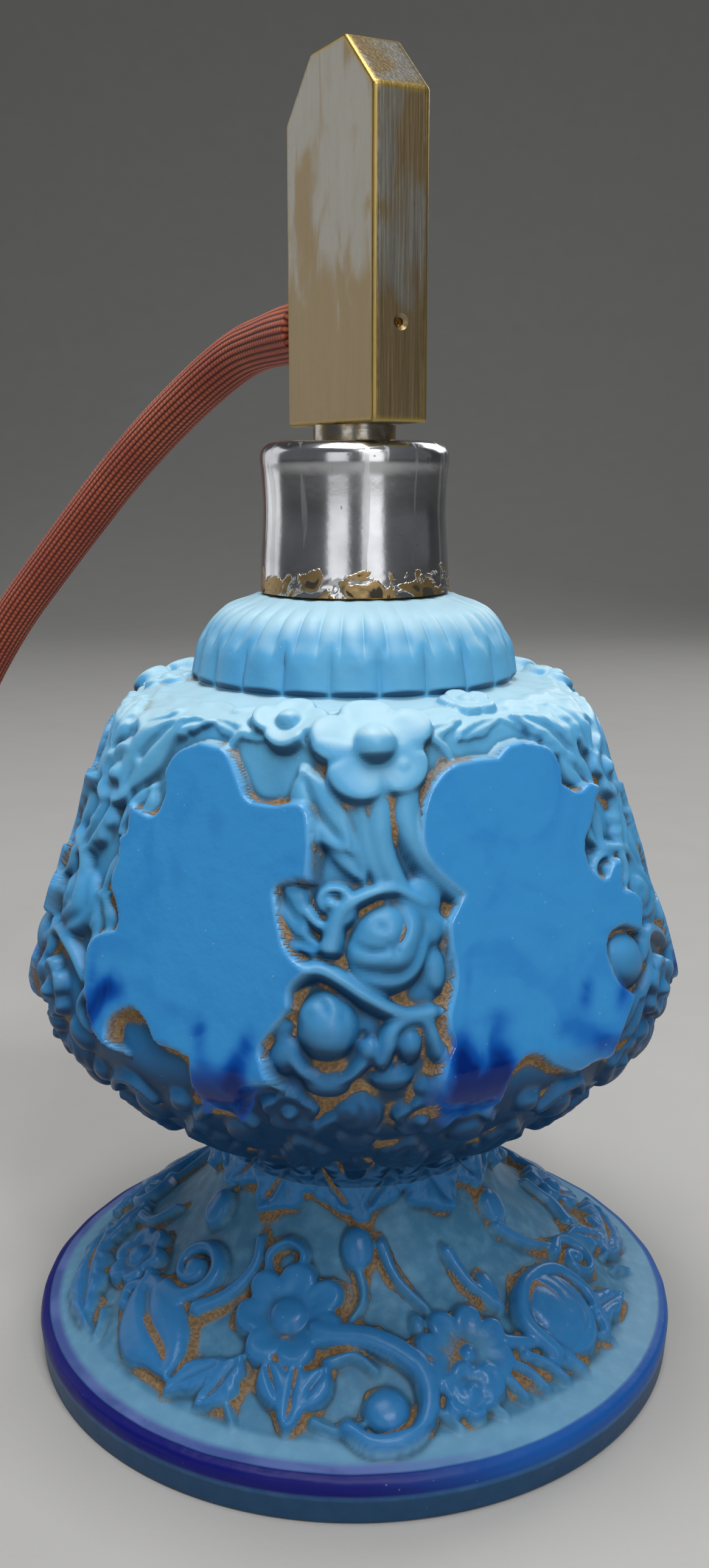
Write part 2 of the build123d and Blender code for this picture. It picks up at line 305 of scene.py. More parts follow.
hose_rings = hose_line[:, None] + hose_radius[..., None] * (
    np.cos(hose_turn)[..., None] * hose_side[:, None]
    + np.sin(hose_turn)[..., None] * hose_up[:, None]
)
hose = grid_piece("hose", hose_rings, close_ends=True)
mark(hose, "weave", weave)

cotton = Finish("rust_cotton", 0.85, Sheen_Weight=0.12, Sheen_Roughness=0.5)
# The grooves between the sleeve's ribs are painted dark as shade; the rib tops keep the rust colour.
out_of_groove_shade = cotton.step(cotton.grown("weave"), 0.25, 0.95)
faded = cotton.step(cotton.noise(0.009, 4), 0.35, 0.7)
fibres = cotton.noise(0.0003, 2)
rust = cotton.blend(faded, "#b34b2e", "#c86540")
rust = cotton.over(fibres, 0.3, rust, "#c87a5c")
cotton.set("Base Color", cotton.blend(out_of_groove_shade, "#571a0e", rust))
cotton.set("Normal", cotton.bump(fibres, 0.0001))
hose.data.materials.append(cotton.material)
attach(hose, "head")
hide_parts("hose_braid", "hose_core")

# ---------------------------------------------------------------------------
# Bulb
# A hollow rubber ball with a neck at each end, under a knitted rust-coloured
# net. It lies on the table in line with the hose's last run.
# ---------------------------------------------------------------------------
BULB_R = 0.0218
BULB_WALL = 0.0022
BULB_NECK_R = 0.0056
BULB_NEAR = 0.009
BULB_FAR = 0.070
BULB_SHOULDER = 0.007
NET_THREADS = 34              # slanting threads each way round the bulb
NET_PITCH = 0.0042            # distance between crossings along the bulb
NET_HIGH = 0.0006

bulb_start = np.array(HOSE_ROUTE[-1])
bulb_axis = bulb_start - np.array(HOSE_ROUTE[-2])
bulb_axis /= np.linalg.norm(bulb_axis)
bulb_side = np.cross(bulb_axis, (0, 0, 1.0))
bulb_side /= np.linalg.norm(bulb_side)
bulb_up = np.cross(bulb_side, bulb_axis)


def bulb_outline(grow, step):
    """Radius and distance along the bulb, from neck end to neck end, grown by a thickness."""
    near = BULB_NEAR + BULB_SHOULDER - 0.8 * grow
    far = BULB_FAR - BULB_SHOULDER + 0.8 * grow
    neck = BULB_NECK_R + grow
    wide = BULB_R + grow
    t = np.linspace(0, 1, 60)[:, None]
    swell = (
        (1 - t) ** 3 * np.array([neck, near])
        + 3 * t * (1 - t) ** 2 * np.array([neck + 0.009, near + 0.001])
        + 3 * t * t * (1 - t) * np.array([wide, near + 0.008])
        + t ** 3 * np.array([wide, (near + far) / 2])
    )
    close_in = swell[::-1] * [1, -1] + [0, near + far]
    ends = [[neck, BULB_NEAR]], [[neck, BULB_FAR]]
    return evenly(np.concatenate([ends[0], swell, close_in[1:], ends[1]]), step)


def on_bulb_axis(radius, far, turn):
    """Points round the bulb's axis."""
    across = np.cos(turn)[..., None] * bulb_side + np.sin(turn)[..., None] * bulb_up
    return bulb_start + far[..., None] * bulb_axis + radius[..., None] * across


net_outline = bulb_outline(NET_HIGH / 2, 0.00028)
net_turn = np.linspace(0, 2 * math.pi, NET_THREADS * 14, endpoint=False)[None, :]
net_far = net_outline[:, 1][:, None]
slant = 2 * math.pi * net_far / (2 * NET_PITCH)
one_way = np.abs(np.cos((NET_THREADS * net_turn) / 2 + slant)) ** 7
other_way = np.abs(np.cos((NET_THREADS * net_turn) / 2 - slant)) ** 7
knots = one_way * other_way
thread = np.clip(np.maximum(one_way, other_way) + 0.35 * knots, 0, 1.3)
net_radius = net_outline[:, 0][:, None] + NET_HIGH * (thread - 0.5)
net_edge = np.minimum(net_far - BULB_NEAR, BULB_FAR - net_far)
net_radius = net_radius + 0.0005 * np.exp(-(net_edge / 0.0008) ** 2)
net_grid = on_bulb_axis(net_radius, net_far + 0 * net_turn, net_turn)
net = grid_piece("bulb_net_knitted", net_grid, close_ends=True)
mark(net, "thread", thread)

knit = Finish("rust_net", 0.85, Sheen_Weight=0.12, Sheen_Roughness=0.5)
on_thread = knit.step(knit.grown("thread"), 0.12, 0.5)
net_fibres = knit.noise(0.00035, 2)
net_rust = knit.blend(knit.step(knit.noise(0.014, 4), 0.35, 0.7), "#a03f27", "#ba593b")
net_rust = knit.over(net_fibres, 0.3, net_rust, "#c87a5c")
knit.set("Base Color", knit.blend(on_thread, "#2a1511", net_rust))
knit.set("Normal", knit.bump(net_fibres, 0.0001))
net.data.materials.append(knit.material)

rubber_outer = bulb_outline(-0.0002, 0.0011)
rubber_inner = bulb_outline(-BULB_WALL, 0.0022)[::-1]
rubber_ring = np.concatenate([rubber_outer, rubber_inner, rubber_outer[:1]])
rubber_turn = np.linspace(0, 2 * math.pi, 96, endpoint=False)[None, :]
rubber_across, rubber_far = rubber_ring[:, 0][:, None], rubber_ring[:, 1][:, None]
rubber_grid = on_bulb_axis(rubber_across + 0 * rubber_turn, rubber_far + 0 * rubber_turn, rubber_turn)
rubber = grid_piece("bulb_rubber_moulded", rubber_grid)
gum = Finish("bulb_rubber", 0.62)
gum.set("Base Color", gum.blend(gum.step(gum.noise(0.006, 4), 0.35, 0.7), "#3a221c", "#55352b"))
gum.set("Normal", gum.bump(gum.noise(0.0006, 3), 0.00008))
rubber.data.materials.append(gum.material)

# The knitted net and the moulded rubber keep their places and stand in for the CAD bulb's net and rubber,
# which are hidden.
for piece, node, slot in ((net, "bulb_net", "rust_net"), (rubber, "bulb_rubber", "bulb_rubber")):
    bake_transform(piece)
    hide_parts(node)

# ---------------------------------------------------------------------------
# Bottle
# Opaque blue glass pressed in a mould in one piece: a round foot, a short stem,
# a six-sided tapered belly, a fluted dome and a neck. Leaves, blossoms and
# scrolls stand up from a sunken ground. The six belly faces are ground flat and
# polished, so they end in wavy outlines where the ornament begins. All of its
# sizes are in millimetres and are brought to metres at the end.
# ---------------------------------------------------------------------------
AROUND = 864
PANEL_APOTHEM = 44.2
PANEL_LOW_Z = 52.0
PANEL_SLOPE = math.tan(math.radians(18.2))
GROUND_SUNK = 2.0             # the ground lies this far under the polished faces
CORNER_SOFT = 2.4             # the six faces of the ground run into its corners over this length
BELLY_RELIEF = 1.08
FOOT_RELIEF = 1.3
UNDER_FROM_Z = 55.5           # below this height the polished faces turn under
UNDER_TURN = 0.1              # and by this much for each squared millimetre below it
FOOT_TOP_Z = 29               # the foot's ground surface ends here, on the stem
WALL = 0.32                   # half the width of the step at a polished face's outline
BOTTLE_RUNS = [               # meridian of the ground as (radius, height), and the row spacing
    ([(0.3, 0), (20, 0), (44.3, 0)], 3.5),
    ([(44.3, 0), (44.8, 0.15), (44.9, 0.6)], 0.2),
    ([(44.9, 0.6), (45.2, 4.5)], 0.5),
    ([(45.2, 4.5), (44.9, 5.4), (44.0, 5.9)], 0.2),
    ([(44.0, 5.9), (42.2, 6.2), (40.3, 6.9)], 0.4),
    ([(40.3, 6.9), (38.4, 7.8), (32.9, 11.9), (26.4, 16.2), (21.4, 21), (18.3, 26), (17.2, 30),
      (18.3, 33)], 0.3),
    ([(18.3, 33), (23.2, 35), (30.4, 38.9), (35.3, 43.2), (39.2, 47.3), (41.1, 50.9), (42.3, 54.6),
      (43, 59.4)], 0.4),
    ([(43, 59.4), (36.6, 78), (32.9, 88.6), (32.4, 90)], 0.34),
    ([(32.4, 90), (30.6, 91.4), (27.4, 92.8), (23.6, 93.6), (21.0, 94)], 0.34),
    ([(21.0, 94), (20.5, 96.6), (19.8, 99.2), (18.2, 101.7), (16, 103.5), (13.2, 104.9)], 0.3),
    ([(13.2, 104.9), (8.4, 105.1)], 1.2),
    ([(8.4, 105.1), (8.4, 112.4), (7.8, 113), (6.8, 113), (6.2, 112.4)], 0.8),
    ([(6.2, 112.4), (6.2, 95.5), (8, 94), (18, 90.5), (24.5, 86), (34.5, 55), (34, 51.5),
      (28, 46.5), (18, 43), (0.3, 43)], 2.5),
]


def curved(points, step, closed=False):
    """Points about one step apart on a smooth curve through these points."""
    knots = np.asarray(points, float)
    if closed:
        knots = np.concatenate([knots[-1:], knots, knots[:2]])
    else:
        knots = np.concatenate([2 * knots[:1] - knots[1:2], knots, 2 * knots[-1:] - knots[-2:-1]])
    t = np.linspace(0, 1, 12, endpoint=False)[:, None]
    pieces = []
    for a, b, c, d in zip(knots, knots[1:], knots[2:], knots[3:]):
        bend = (2 * a - 5 * b + 4 * c - d) * t ** 2 + (3 * b - a - 3 * c + d) * t ** 3
        pieces.append(0.5 * (2 * b + (c - a) * t + bend))
    return evenly(np.concatenate(pieces + [knots[-2:-1]]), step)


meridian = []
for number, (points, step) in enumerate(BOTTLE_RUNS):
    straight = len(points) == 2 or number == len(BOTTLE_RUNS) - 1
    run = evenly(points, step) if straight else curved(points, step)
    meridian += list(run if number == 0 else run[1:])
meridian = np.array(meridian)
ring_r, ring_z = meridian.T
radius_row, height_row = ring_r[:, None], ring_z[:, None]
along = np.concatenate([[0], np.cumsum(np.linalg.norm(np.diff(meridian, axis=0), axis=1))])
neck_row = int(np.argmax(ring_z))
foot_row = int(np.argmax(ring_r * (ring_z < 6)))
stem_row = foot_row + int(np.argmin(ring_r[foot_row:neck_row] + 99 * (ring_z[foot_row:neck_row] > 32)))
azimuths = np.arange(AROUND) * 360 / AROUND - 180
outside = (np.arange(len(along)) > foot_row) & (np.arange(len(along)) < neck_row)
outside_row = outside[:, None]


def off(azimuth, middle):
    """Degrees from a middle azimuth, from -180 to 180."""
    return (azimuth - middle + 180) % 360 - 180


# The ground: the turned meridian, cut back by the six leaning faces and sunk a little under them.
to_face = np.radians(np.abs((azimuths % 60) - 30))[None, :]
face_r = (PANEL_APOTHEM - PANEL_SLOPE * (height_row - PANEL_LOW_Z)) / np.cos(to_face) - GROUND_SUNK
turned_r = radius_row + 0 * face_r
share = np.clip(0.5 + 0.5 * (face_r - turned_r) / CORNER_SOFT, 0, 1)
cut_r = turned_r * share + face_r * (1 - share) - CORNER_SOFT * share * (1 - share)
belly_rows = (outside & (ring_z > 34) & (ring_z < 94.5))[:, None]
ground_r = np.where(belly_rows, cut_r, turned_r)
angle = np.radians(azimuths)[None, :]
ground = np.stack([
    ground_r * np.sin(angle), -ground_r * np.cos(angle), height_row + 0 * ground_r], axis=-1)


def outward(grid):
    """Unit normals of a grid of points, pointing out of the glass."""
    round_it = np.roll(grid, -1, axis=1) - np.roll(grid, 1, axis=1)
    normal = np.cross(round_it, np.gradient(grid, axis=0))
    return normal / np.maximum(np.linalg.norm(normal, axis=-1, keepdims=True), 1e-9)


relief = np.zeros(ground.shape[:2])


def on_foot(radius):
    """Distance along the meridian to a radius on the foot's upper side."""
    rows = slice(foot_row, stem_row)
    return np.interp(-radius, -ring_r[rows], along[rows])


def on_belly(height):
    """Distance along the meridian to a height on the stem, belly or dome."""
    rows = slice(stem_row, neck_row)
    return np.interp(height, ring_z[rows], along[rows])


class Spot:
    """A place on the glass, with x to the right and y up the meridian in millimetres."""

    def __init__(self, azimuth, place, reach, lean=0):
        self.rows = np.nonzero(outside & (np.abs(along - place) < reach))[0]
        turn = off(azimuths, azimuth)
        widest = np.radians(np.abs(turn)) * ring_r[self.rows].mean()
        self.columns = np.nonzero(widest < reach)[0]
        right = np.radians(turn[self.columns])[None, :] * ring_r[self.rows][:, None]
        up = (along[self.rows] - place)[:, None] + 0 * right
        c, s = math.cos(math.radians(lean)), math.sin(math.radians(lean))
        self.x = right * c + up * s
        self.y = up * c - right * s

    def raise_to(self, height):
        patch = np.ix_(self.rows, self.columns)
        relief[patch] = np.maximum(relief[patch], height)

    def sink(self, depth):
        relief[np.ix_(self.rows, self.columns)] -= depth


def dome(azimuth, place, wide, high, tall=1.0, lean=0):
    """A smooth rounded boss, stretched along its own height by tall."""
    spot = Spot(azimuth, place, wide * max(1, tall) + 1, lean)
    far = np.hypot(spot.x, spot.y / tall) / wide
    spot.raise_to(high * np.sqrt(np.clip(1 - far ** 2, 0, 1)))


def pit(azimuth, place, wide, deep):
    """A rounded hole."""
    spot = Spot(azimuth, place, wide + 1)
    spot.sink(deep * smooth(-np.hypot(spot.x, spot.y), -wide, -0.4 * wide))


def blossom(azimuth, place, wide, boss, petals=5, high=1.5, lean=0):
    """An open flower: a cupped plate with a lobed, rolled edge and a ball in the middle."""
    spot = Spot(azimuth, place, wide * 1.3, lean)
    far = np.hypot(spot.x, spot.y)
    turn = np.arctan2(spot.x, spot.y)
    edge = wide * (0.78 + 0.22 * np.abs(np.cos(turn * petals / 2)) ** 0.8)
    share = far / edge
    plate = high * (0.5 + 0.5 * smooth(share, 0.35, 0.86)) * (1 - smooth(share, 0.9, 1.08))
    furrow = 0.3 * high * (1 - np.abs(np.cos(turn * petals / 2))) ** 3 * smooth(share, 0.3, 0.9)
    ball = 1.35 * high * np.sqrt(np.clip(1 - (far / boss) ** 2, 0, 1))
    spot.raise_to(np.maximum(plate - furrow, ball))


def nearest(spot, line):
    """Each point's distance to a line, its share along it, and which side it is on."""
    best = np.full(spot.x.shape, 1e9)
    share = np.zeros(spot.x.shape)
    side = np.ones(spot.x.shape)
    for i, ((px, py), (qx, qy)) in enumerate(zip(line, line[1:])):
        dx, dy = qx - px, qy - py
        t = np.clip(((spot.x - px) * dx + (spot.y - py) * dy) / (dx * dx + dy * dy), 0, 1)
        ax, ay = spot.x - px - t * dx, spot.y - py - t * dy
        far = np.hypot(ax, ay)
        closer = far < best
        best = np.where(closer, far, best)
        share = np.where(closer, (i + t) / (len(line) - 1), share)
        side = np.where(closer, np.sign(ax * dy - ay * dx), side)
    return best, share, side


def roll(azimuth, place, path, wide, high, taper=0.35, lean=0):
    """A rounded cord of glass along a curve, thinning to taper times its width at the end."""
    line = curved(path, 0.6)
    spot = Spot(azimuth, place, np.abs(line).max() + 2 * wide, lean)
    far, share, _ = nearest(spot, line)
    half = wide * (1 - (1 - taper) * share)
    spot.raise_to(high * np.sqrt(half / wide) * np.sqrt(np.clip(1 - (far / half) ** 2, 0, 1)))


def leaf(azimuth, place, path, wide, high=1.4, lobes=0, lean=0):
    """A leaf along a curved midrib: two swelling halves, a groove between, and a lobed edge."""
    line = curved(path, 0.8)
    spot = Spot(azimuth, place, np.abs(line).max() + 1.5 * wide, lean)
    far, share, side = nearest(spot, line)
    half = wide * np.sin(np.pi * np.clip(share, 0.02, 0.985) ** 0.85) ** 0.75
    if lobes:
        half = half * (0.76 + 0.24 * np.abs(np.cos(np.pi * lobes * (share + 0.03 * side))))
    across = far / np.maximum(half, 0.05)
    body = np.sqrt(np.clip(1 - across ** 2, 0, 1)) * (0.8 + 0.2 * across)
    ends = smooth(share, 0, 0.12) * (1 - smooth(share, 0.75, 1))
    groove = 0.38 * np.exp(-(far / (0.16 * wide)) ** 2) * ends
    veins = 0.10 * np.cos(2 * np.pi * (6 * share - 1.6 * across)) * smooth(across, 0.2, 0.5) if lobes else 0
    spot.raise_to(high * np.clip(body - groove + veins * body, 0, 1.2))


def volute(azimuth, place, wide, high, turns=1.6, start=0, hand=1):
    """A scroll that winds in to a small ball."""
    t = np.linspace(0, 1, 26)
    turn = np.radians(start) + hand * turns * 2 * np.pi * t
    far = wide * (1 - 0.8 * t)
    path = np.stack([far * np.cos(turn), far * np.sin(turn)], axis=1)
    roll(azimuth, place, path[::2], 0.3 * wide, high, 0.6)
    dome(azimuth, place, 0.34 * wide, 1.15 * high)


def rose(azimuth, place, wide, high, lean=0):
    """A half-open rose: a dome with petals folded over one another from one side."""
    spot = Spot(azimuth, place, wide * 1.3, lean)
    far = np.hypot(spot.x / 0.9, spot.y / 1.05) / wide
    from_heart = np.hypot(spot.x + 0.42 * wide, spot.y - 0.3 * wide) / wide
    fold = (1.9 * from_heart + 0.12 * np.sin(2.5 * np.arctan2(spot.y, spot.x))) % 1
    body = np.sqrt(np.clip(1 - far ** 2, 0, 1))
    spot.raise_to(high * body * (0.66 + 0.34 * np.sin(np.pi * fold ** 0.7) ** 0.8))


def garland_between_leaf_and_scroll(middle):
    """The ornament on the front corner and on every second corner from it."""
    def at(azimuth, height):
        return middle + azimuth, on_belly(height)

    blossom(*at(4, 90.4), 7.4, 2.5, petals=5, high=2.1, lean=8)
    blossom(*at(-15, 92.2), 4.8, 1.7, petals=4, high=1.6)
    blossom(*at(33, 93.4), 3.6, 1.4, petals=5, high=1.1)
    leaf(*at(-8, 85), [(-1.2, 2.6), (0.8, -1.6), (4.6, -6.2)], 3.4, 1.5)
    leaf(*at(-7, 80), [(5.5, -4), (2.5, 1.5), (-1.5, 5.5)], 2.4, 1.0)
    roll(*at(-2, 84), [(0, 2), (2.2, -3.5), (4.4, -8.5)], 0.8, 1.0, 0.6)
    roll(*at(9, 83), [(0.6, 5), (0.4, -1), (2.4, -6), (6.4, -10.3)], 1.9, 1.7, 0.7)
    roll(*at(7, 82), [(-1.6, 3), (-1.4, -3), (1.2, -8.5), (6.2, -12.6)], 1.7, 1.4, 0.6)
    roll(*at(2, 79), [(-0.5, 5), (0.2, 0), (2.2, -5)], 1.0, 1.1, 0.7)
    dome(*at(12, 74), 1.8, 1.3, 1.5, 40)
    leaf(*at(-11, 75), [(-3.4, 4.6), (-1.4, 0), (2.4, -4.8)], 3.2, 1.4, lobes=3)
    leaf(*at(-10, 71), [(-3.2, 2.2), (0, -1), (4, -2.6)], 2.2, 1.3, lobes=2)
    volute(*at(-3.5, 73.6), 2.9, 1.5, 1.4, 200)
    rose(*at(5.5, 69), 5.2, 2.3, -25)
    roll(*at(5, 70), [(-6, -1), (-4.4, 3.4), (0.4, 5.4), (4.4, 3.4)], 1.3, 1.9, 0.6)
    dome(*at(12.5, 70.4), 1.9, 1.2, 1.2)
    dome(*at(13, 66.2), 1.5, 1.0, 1.8)
    vine = [(-8, -3.4), (-6.2, 0.4), (-2.6, 1.8), (2, -1), (6, -3.2), (10.5, -3.4)]
    roll(*at(-1, 65), vine, 1.35, 1.9, 0.7)
    rose(*at(-4.2, 61), 3.7, 2.1)
    dome(*at(-4.2, 60.6), 2.9, 2.3)
    for azimuth, height, wide in ((-11, 60.5, 1.4), (-10.5, 57.5, 1.9), (2.2, 58.6, 1.2), (13, 57.5, 1.6)):
        dome(*at(azimuth, height), wide, 1.3, 1.3, 20 * azimuth / 10)
    roll(*at(8, 60), [(-3, -2.6), (-1.6, 1), (1.6, 1.2), (3.2, -2.6)], 1.1, 1.6, 0.9)
    dome(*at(8, 59), 1.5, 1.4, 1.5)
    roll(*at(-4, 56.6), [(-4, 1), (-2, -1), (2, -1.2), (4.2, 0.8)], 0.9, 1.3, 0.9)
    dome(*at(-4, 54.4), 2.7, 1.5, 0.6)
    dome(*at(5.5, 55.2), 2.4, 1.4, 0.7)
    dome(*at(12, 53.6), 2.4, 1.2, 0.8)
    rose(*at(0.5, 50.2), 3.2, 1.5)
    blossom(*at(-10, 50.6), 3.4, 1.1, petals=5, high=1.2)
    blossom(*at(10.5, 49.6), 3.3, 1.1, petals=5, high=1.2)
    pit(*at(13.4, 62), 1.5, 0.7)
    pit(*at(1.4, 60.2), 0.7, 0.5)


def garland_between_scroll_and_leaf(middle):
    """The ornament on the three corners between."""
    def at(azimuth, height):
        return middle + azimuth, on_belly(height)

    leaf(*at(11, 87.4), [(-2.4, -5.4), (-0.6, 0), (3.6, 5.2)], 3.5, 1.8)
    leaf(*at(19, 91), [(-3, -2), (0, 0.4), (3.4, 1.2)], 2.3, 1.2, lobes=3)
    leaf(*at(-13, 90), [(4, -4.6), (0.6, 0), (-4, 3.6)], 3.1, 1.6, lobes=3)
    leaf(*at(-3, 90.4), [(0.8, -4.2), (0, 0), (-1.4, 4)], 2.6, 1.5, lobes=3)
    blossom(*at(4, 84.4), 4.3, 1.5, petals=5, high=1.5)
    for azimuth, height, lean in ((-8, 84.5, 30), (-9, 79, 15), (11.5, 80.6, -25), (10.8, 73.4, -20)):
        leaf(*at(azimuth, height), [(0, 3.6), (0.5, 0), (0, -3.8)], 2.5, 1.5, lean=lean)
    leaf(*at(2, 77.8), [(1.8, 4.6), (0.2, 0), (-2.4, -4.2)], 2.8, 1.5, lobes=4)
    volute(*at(-7.5, 73.2), 3.3, 1.7, 1.5, 20, -1)
    roll(*at(-2, 72), [(-3, 4), (1.4, 2.6), (3.2, -1.6), (1, -5)], 1.2, 1.5, 0.7)
    rose(*at(2.5, 69), 4.4, 2.0, 20)
    dome(*at(-9, 63), 3.6, 2.1)
    roll(*at(-9, 63), [(-1, 4.6), (3.6, 3.4), (4.8, -1.2), (2, -4.8)], 1.1, 1.6, 0.6)
    leaf(*at(10.5, 66), [(-1.6, 5), (0.8, 0), (0.4, -5.2)], 2.9, 1.6, lobes=3)
    roll(*at(2, 62.6), [(-5, 0), (-2, 2.4), (2.2, 1), (6, -2)], 1.2, 1.6, 0.7)
    blossom(*at(0.5, 58), 4.0, 1.4, petals=6, high=1.6)
    volute(*at(13.4, 57.4), 2.9, 1.6, 1.3, 90)
    leaf(*at(-9.5, 55.6), [(3, 3.4), (0, 0), (-3.4, -2)], 2.5, 1.4, lobes=2)
    dome(*at(8, 53.6), 2.1, 1.3, 1.2, 30)
    dome(*at(-3, 52.8), 2.2, 1.4, 0.8)
    rose(*at(3.5, 50), 3.1, 1.4)
    blossom(*at(-7.5, 50), 3.5, 1.2, petals=5, high=1.2)
    pit(*at(-3.6, 66.6), 1.1, 0.6)


for corner in (0, 120, 240):
    garland_between_leaf_and_scroll(corner)
    garland_between_scroll_and_leaf(corner + 60)

# Round the shoulder, under the dome: a wreath of small leaves, buds and folds between the blossoms.
SHOULDER_SPRAYS = 30
for number in range(SHOULDER_SPRAYS):
    azimuth = 6 + number * 360 / SHOULDER_SPRAYS
    hand = 1 if number % 3 else -1
    leaf(azimuth, on_belly(91.4), [(-3.4 * hand, -1.8), (0, 0.2), (3.4 * hand, 1.4)], 2.2, 0.6, lobes=2)
    roll(azimuth + 4, on_belly(93), [(-2.4, 0.2 * hand), (0, 0.9), (2.4, 0)], 0.9, 0.5, 0.6)
    if number % 2:
        dome(azimuth + 6, on_belly(92.2), 1.1, 0.6)
        roll(azimuth + 1, on_belly(89.4), [(-1.6 * hand, 2), (0.4, 0), (1.5 * hand, -2)], 0.9, 0.8, 0.6)

# Under the belly: shells round the widest edge, then long leaves that run in to the stem.
UNDER_LEAVES = 18
for number in range(UNDER_LEAVES):
    azimuth = (number + 0.5) * 360 / UNDER_LEAVES
    hand = 1 if number % 2 else -1
    leaf(azimuth, on_belly(42.2), [(-2.0 * hand, -6.5), (0.4 * hand, -1), (0, 4.8)], 3.6, 1.3, lobes=3)
    dome(azimuth + 10, on_belly(45.6), 2.2, 1.2, 1.3, 20 * hand)
    roll(azimuth + 8, on_belly(48.6), [(-3.4, -1.2), (-1, 1.3), (1.8, 1.3), (3.6, -1)], 1.0, 1.2, 0.8)
    dome(azimuth, on_belly(48.9), 1.7, 1.1)
    roll(azimuth + 10, on_belly(37.8), [(-0.8 * hand, -4.5), (1.4 * hand, 0), (0, 4)], 0.9, 0.9, 0.7)

# The stem: drooping leaves in a ring, with drops hanging between them.
STEM_LEAVES = 6
for number in range(STEM_LEAVES):
    azimuth = -29 + number * 360 / STEM_LEAVES
    hand = 1 if number % 2 else -1
    leaf(azimuth, on_belly(30), [(-1 * hand, 4), (0.4 * hand, 0), (3 * hand, -6.5)], 5.2, 2.1, lobes=3)
    for side in (-1, 1):
        leaf(azimuth + 15 * side, on_belly(30), [(0, 3.6), (side, 0), (4.4 * side, -5)], 3.4, 1.7, lobes=2)
    roll(azimuth + 30, on_belly(30), [(0, 4), (0.4 * hand, -1), (-0.6 * hand, -5)], 1.7, 1.5, 0.8)
    dome(azimuth + 30, on_foot(21), 2.2, 1.6, 1.4)

# The foot: the front ornament, and the same again turned half round for the back.
for turn in (0, 180):
    def at(azimuth, radius):
        further_out = 3.4 - 0.3 * max(0, radius - 30)
        return turn + azimuth, on_foot(radius + further_out)

    blossom(*at(-17, 24.6), 7.2, 2.6, petals=7, high=1.6)
    roll(*at(-22, 19.4), [(2.2, -1.2), (1.8, 1.8), (-0.6, 2.7), (-2.6, 0.6), (-2, -1.8)], 0.75, 1.2, 0.9)
    dome(*at(-22, 19.4), 1.3, 0.5)
    for azimuth, lean, tall in ((-12, 0, 8.5), (-17, -32, 6.4), (-7.5, 32, 6.4)):
        leaf(*at(azimuth, 31.5), [(0, 2), (0, -1.5), (0, 2 - tall)], 2.3, 1.9, lean=-lean)
    dome(*at(6, 35.2), 2.9, 1.7)
    hook = [(-6.4, 5.8), (0.4, 5), (5.6, 1.2), (6.6, -3.4), (4.2, -7), (-0.4, -7.8), (-3.4, -5.6)]
    roll(*at(4, 31), hook, 1.7, 1.9, 0.7)
    roll(*at(2, 31), [(-4.6, 2), (-1.2, 3.2), (1.6, 1.2)], 0.8, 0.9, 0.6)
    blossom(*at(25, 29.6), 6.6, 1.2, petals=8, high=1.1, lean=20)
    blossom(*at(22.5, 34.4), 3.8, 0.9, petals=6, high=1.2)
    dome(*at(16, 25.2), 1.1, 0.8, 1.4)
    leaf(*at(-47, 31.6), [(-8, 4.4), (-2.5, 0.6), (2.6, -1.4), (6, -4.2)], 5.4, 1.8)
    roll(*at(-56, 30.4), [(4.6, 3.5), (-1, 2.8), (-4.6, 0.4), (-3, -1.6)], 1.2, 1.4, 0.7)
    leaf(*at(-34, 35.6), [(1.8, 4.8), (-0.4, 0), (-1.2, -3)], 2.3, 1.4, lobes=2, lean=-20)
    leaf(*at(-28, 34.6), [(1, 4.4), (0.6, 0), (-0.6, -3.4)], 2.7, 1.5, lobes=2, lean=-12)
    volute(*at(-51, 23.4), 4.6, 1.6, 1.5, 250)
    roll(*at(-38, 23), [(-2, -4.8), (1.2, -1), (2.4, 3.5), (1.4, 7)], 1.2, 1.3, 0.6)
    leaf(*at(-79, 36.2), [(-10.5, 2.6), (-3, 0.6), (3.4, -0.8), (9.6, -2.4)], 3.7, 1.7, lobes=5)
    blossom(*at(-72, 27.6), 4.9, 1.7, petals=6, high=1.4)
    leaf(*at(-92, 31), [(-3, 4.4), (0, 0), (3.4, -3.8)], 2.8, 1.4, lobes=3)
    roll(*at(-86, 24.6), [(-3, -3), (0.6, -0.6), (1.8, 4)], 1.1, 1.2, 0.6)
    rose(*at(53, 30.4), 6.0, 2.2)
    collar_of_rose = [(-5.6, -3.4), (-6, 2), (-1.4, 5.8), (4.4, 4.6), (6.6, -0.6), (4.4, -5.6)]
    roll(*at(53, 30.4), collar_of_rose, 1.25, 1.9, 0.7)
    roll(*at(43, 33), [(-4.6, 3), (0, 1.2), (4.4, 1.8)], 1.1, 1.2, 0.8)
    for number in range(4):
        roll(*at(31 + 5 * number, 35 + 0.3 * number), [(-2, 2.8), (0.2, 0.8), (1.6, -2.4)], 0.85, 1.1, 0.7)
    leaf(*at(66, 35.4), [(-4.6, 1.4), (0, 0.6), (5.2, -1.4)], 2.6, 1.5, lobes=3)
    volute(*at(73, 28.4), 3.6, 1.4, 1.4, 120, -1)
    roll(*at(36, 22.6), [(-1.6, 5), (-0.8, 0), (1.6, -4.4)], 1.0, 1.2, 0.8)
    dome(*at(38.5, 24), 1.6, 1.2, 1.8, -12)
    roll(*at(12, 20.4), [(-1, 4.6), (0.4, 0), (3.6, -4.4)], 0.9, 1.0, 0.6)
    roll(*at(3, 22), [(-1, 5), (-0.2, 0), (-2.6, -4)], 0.8, 0.8, 0.6)
    roll(*at(61, 22.5), [(-1.6, 4.4), (1.2, 0), (5, -3.4)], 1.0, 1.1, 0.6)
    roll(*at(-3, 37.2), [(-3, 0.6), (0, -0.4), (3, 0.4)], 0.7, 0.7, 0.8)
    for azimuth in (-63, -24, 17, 26, 46, 58, 84):
        roll(*at(azimuth, 37.2), [(-1.6, 1.6), (0.2, 0.2), (1.4, -1.4)], 0.7, 0.8, 0.7)

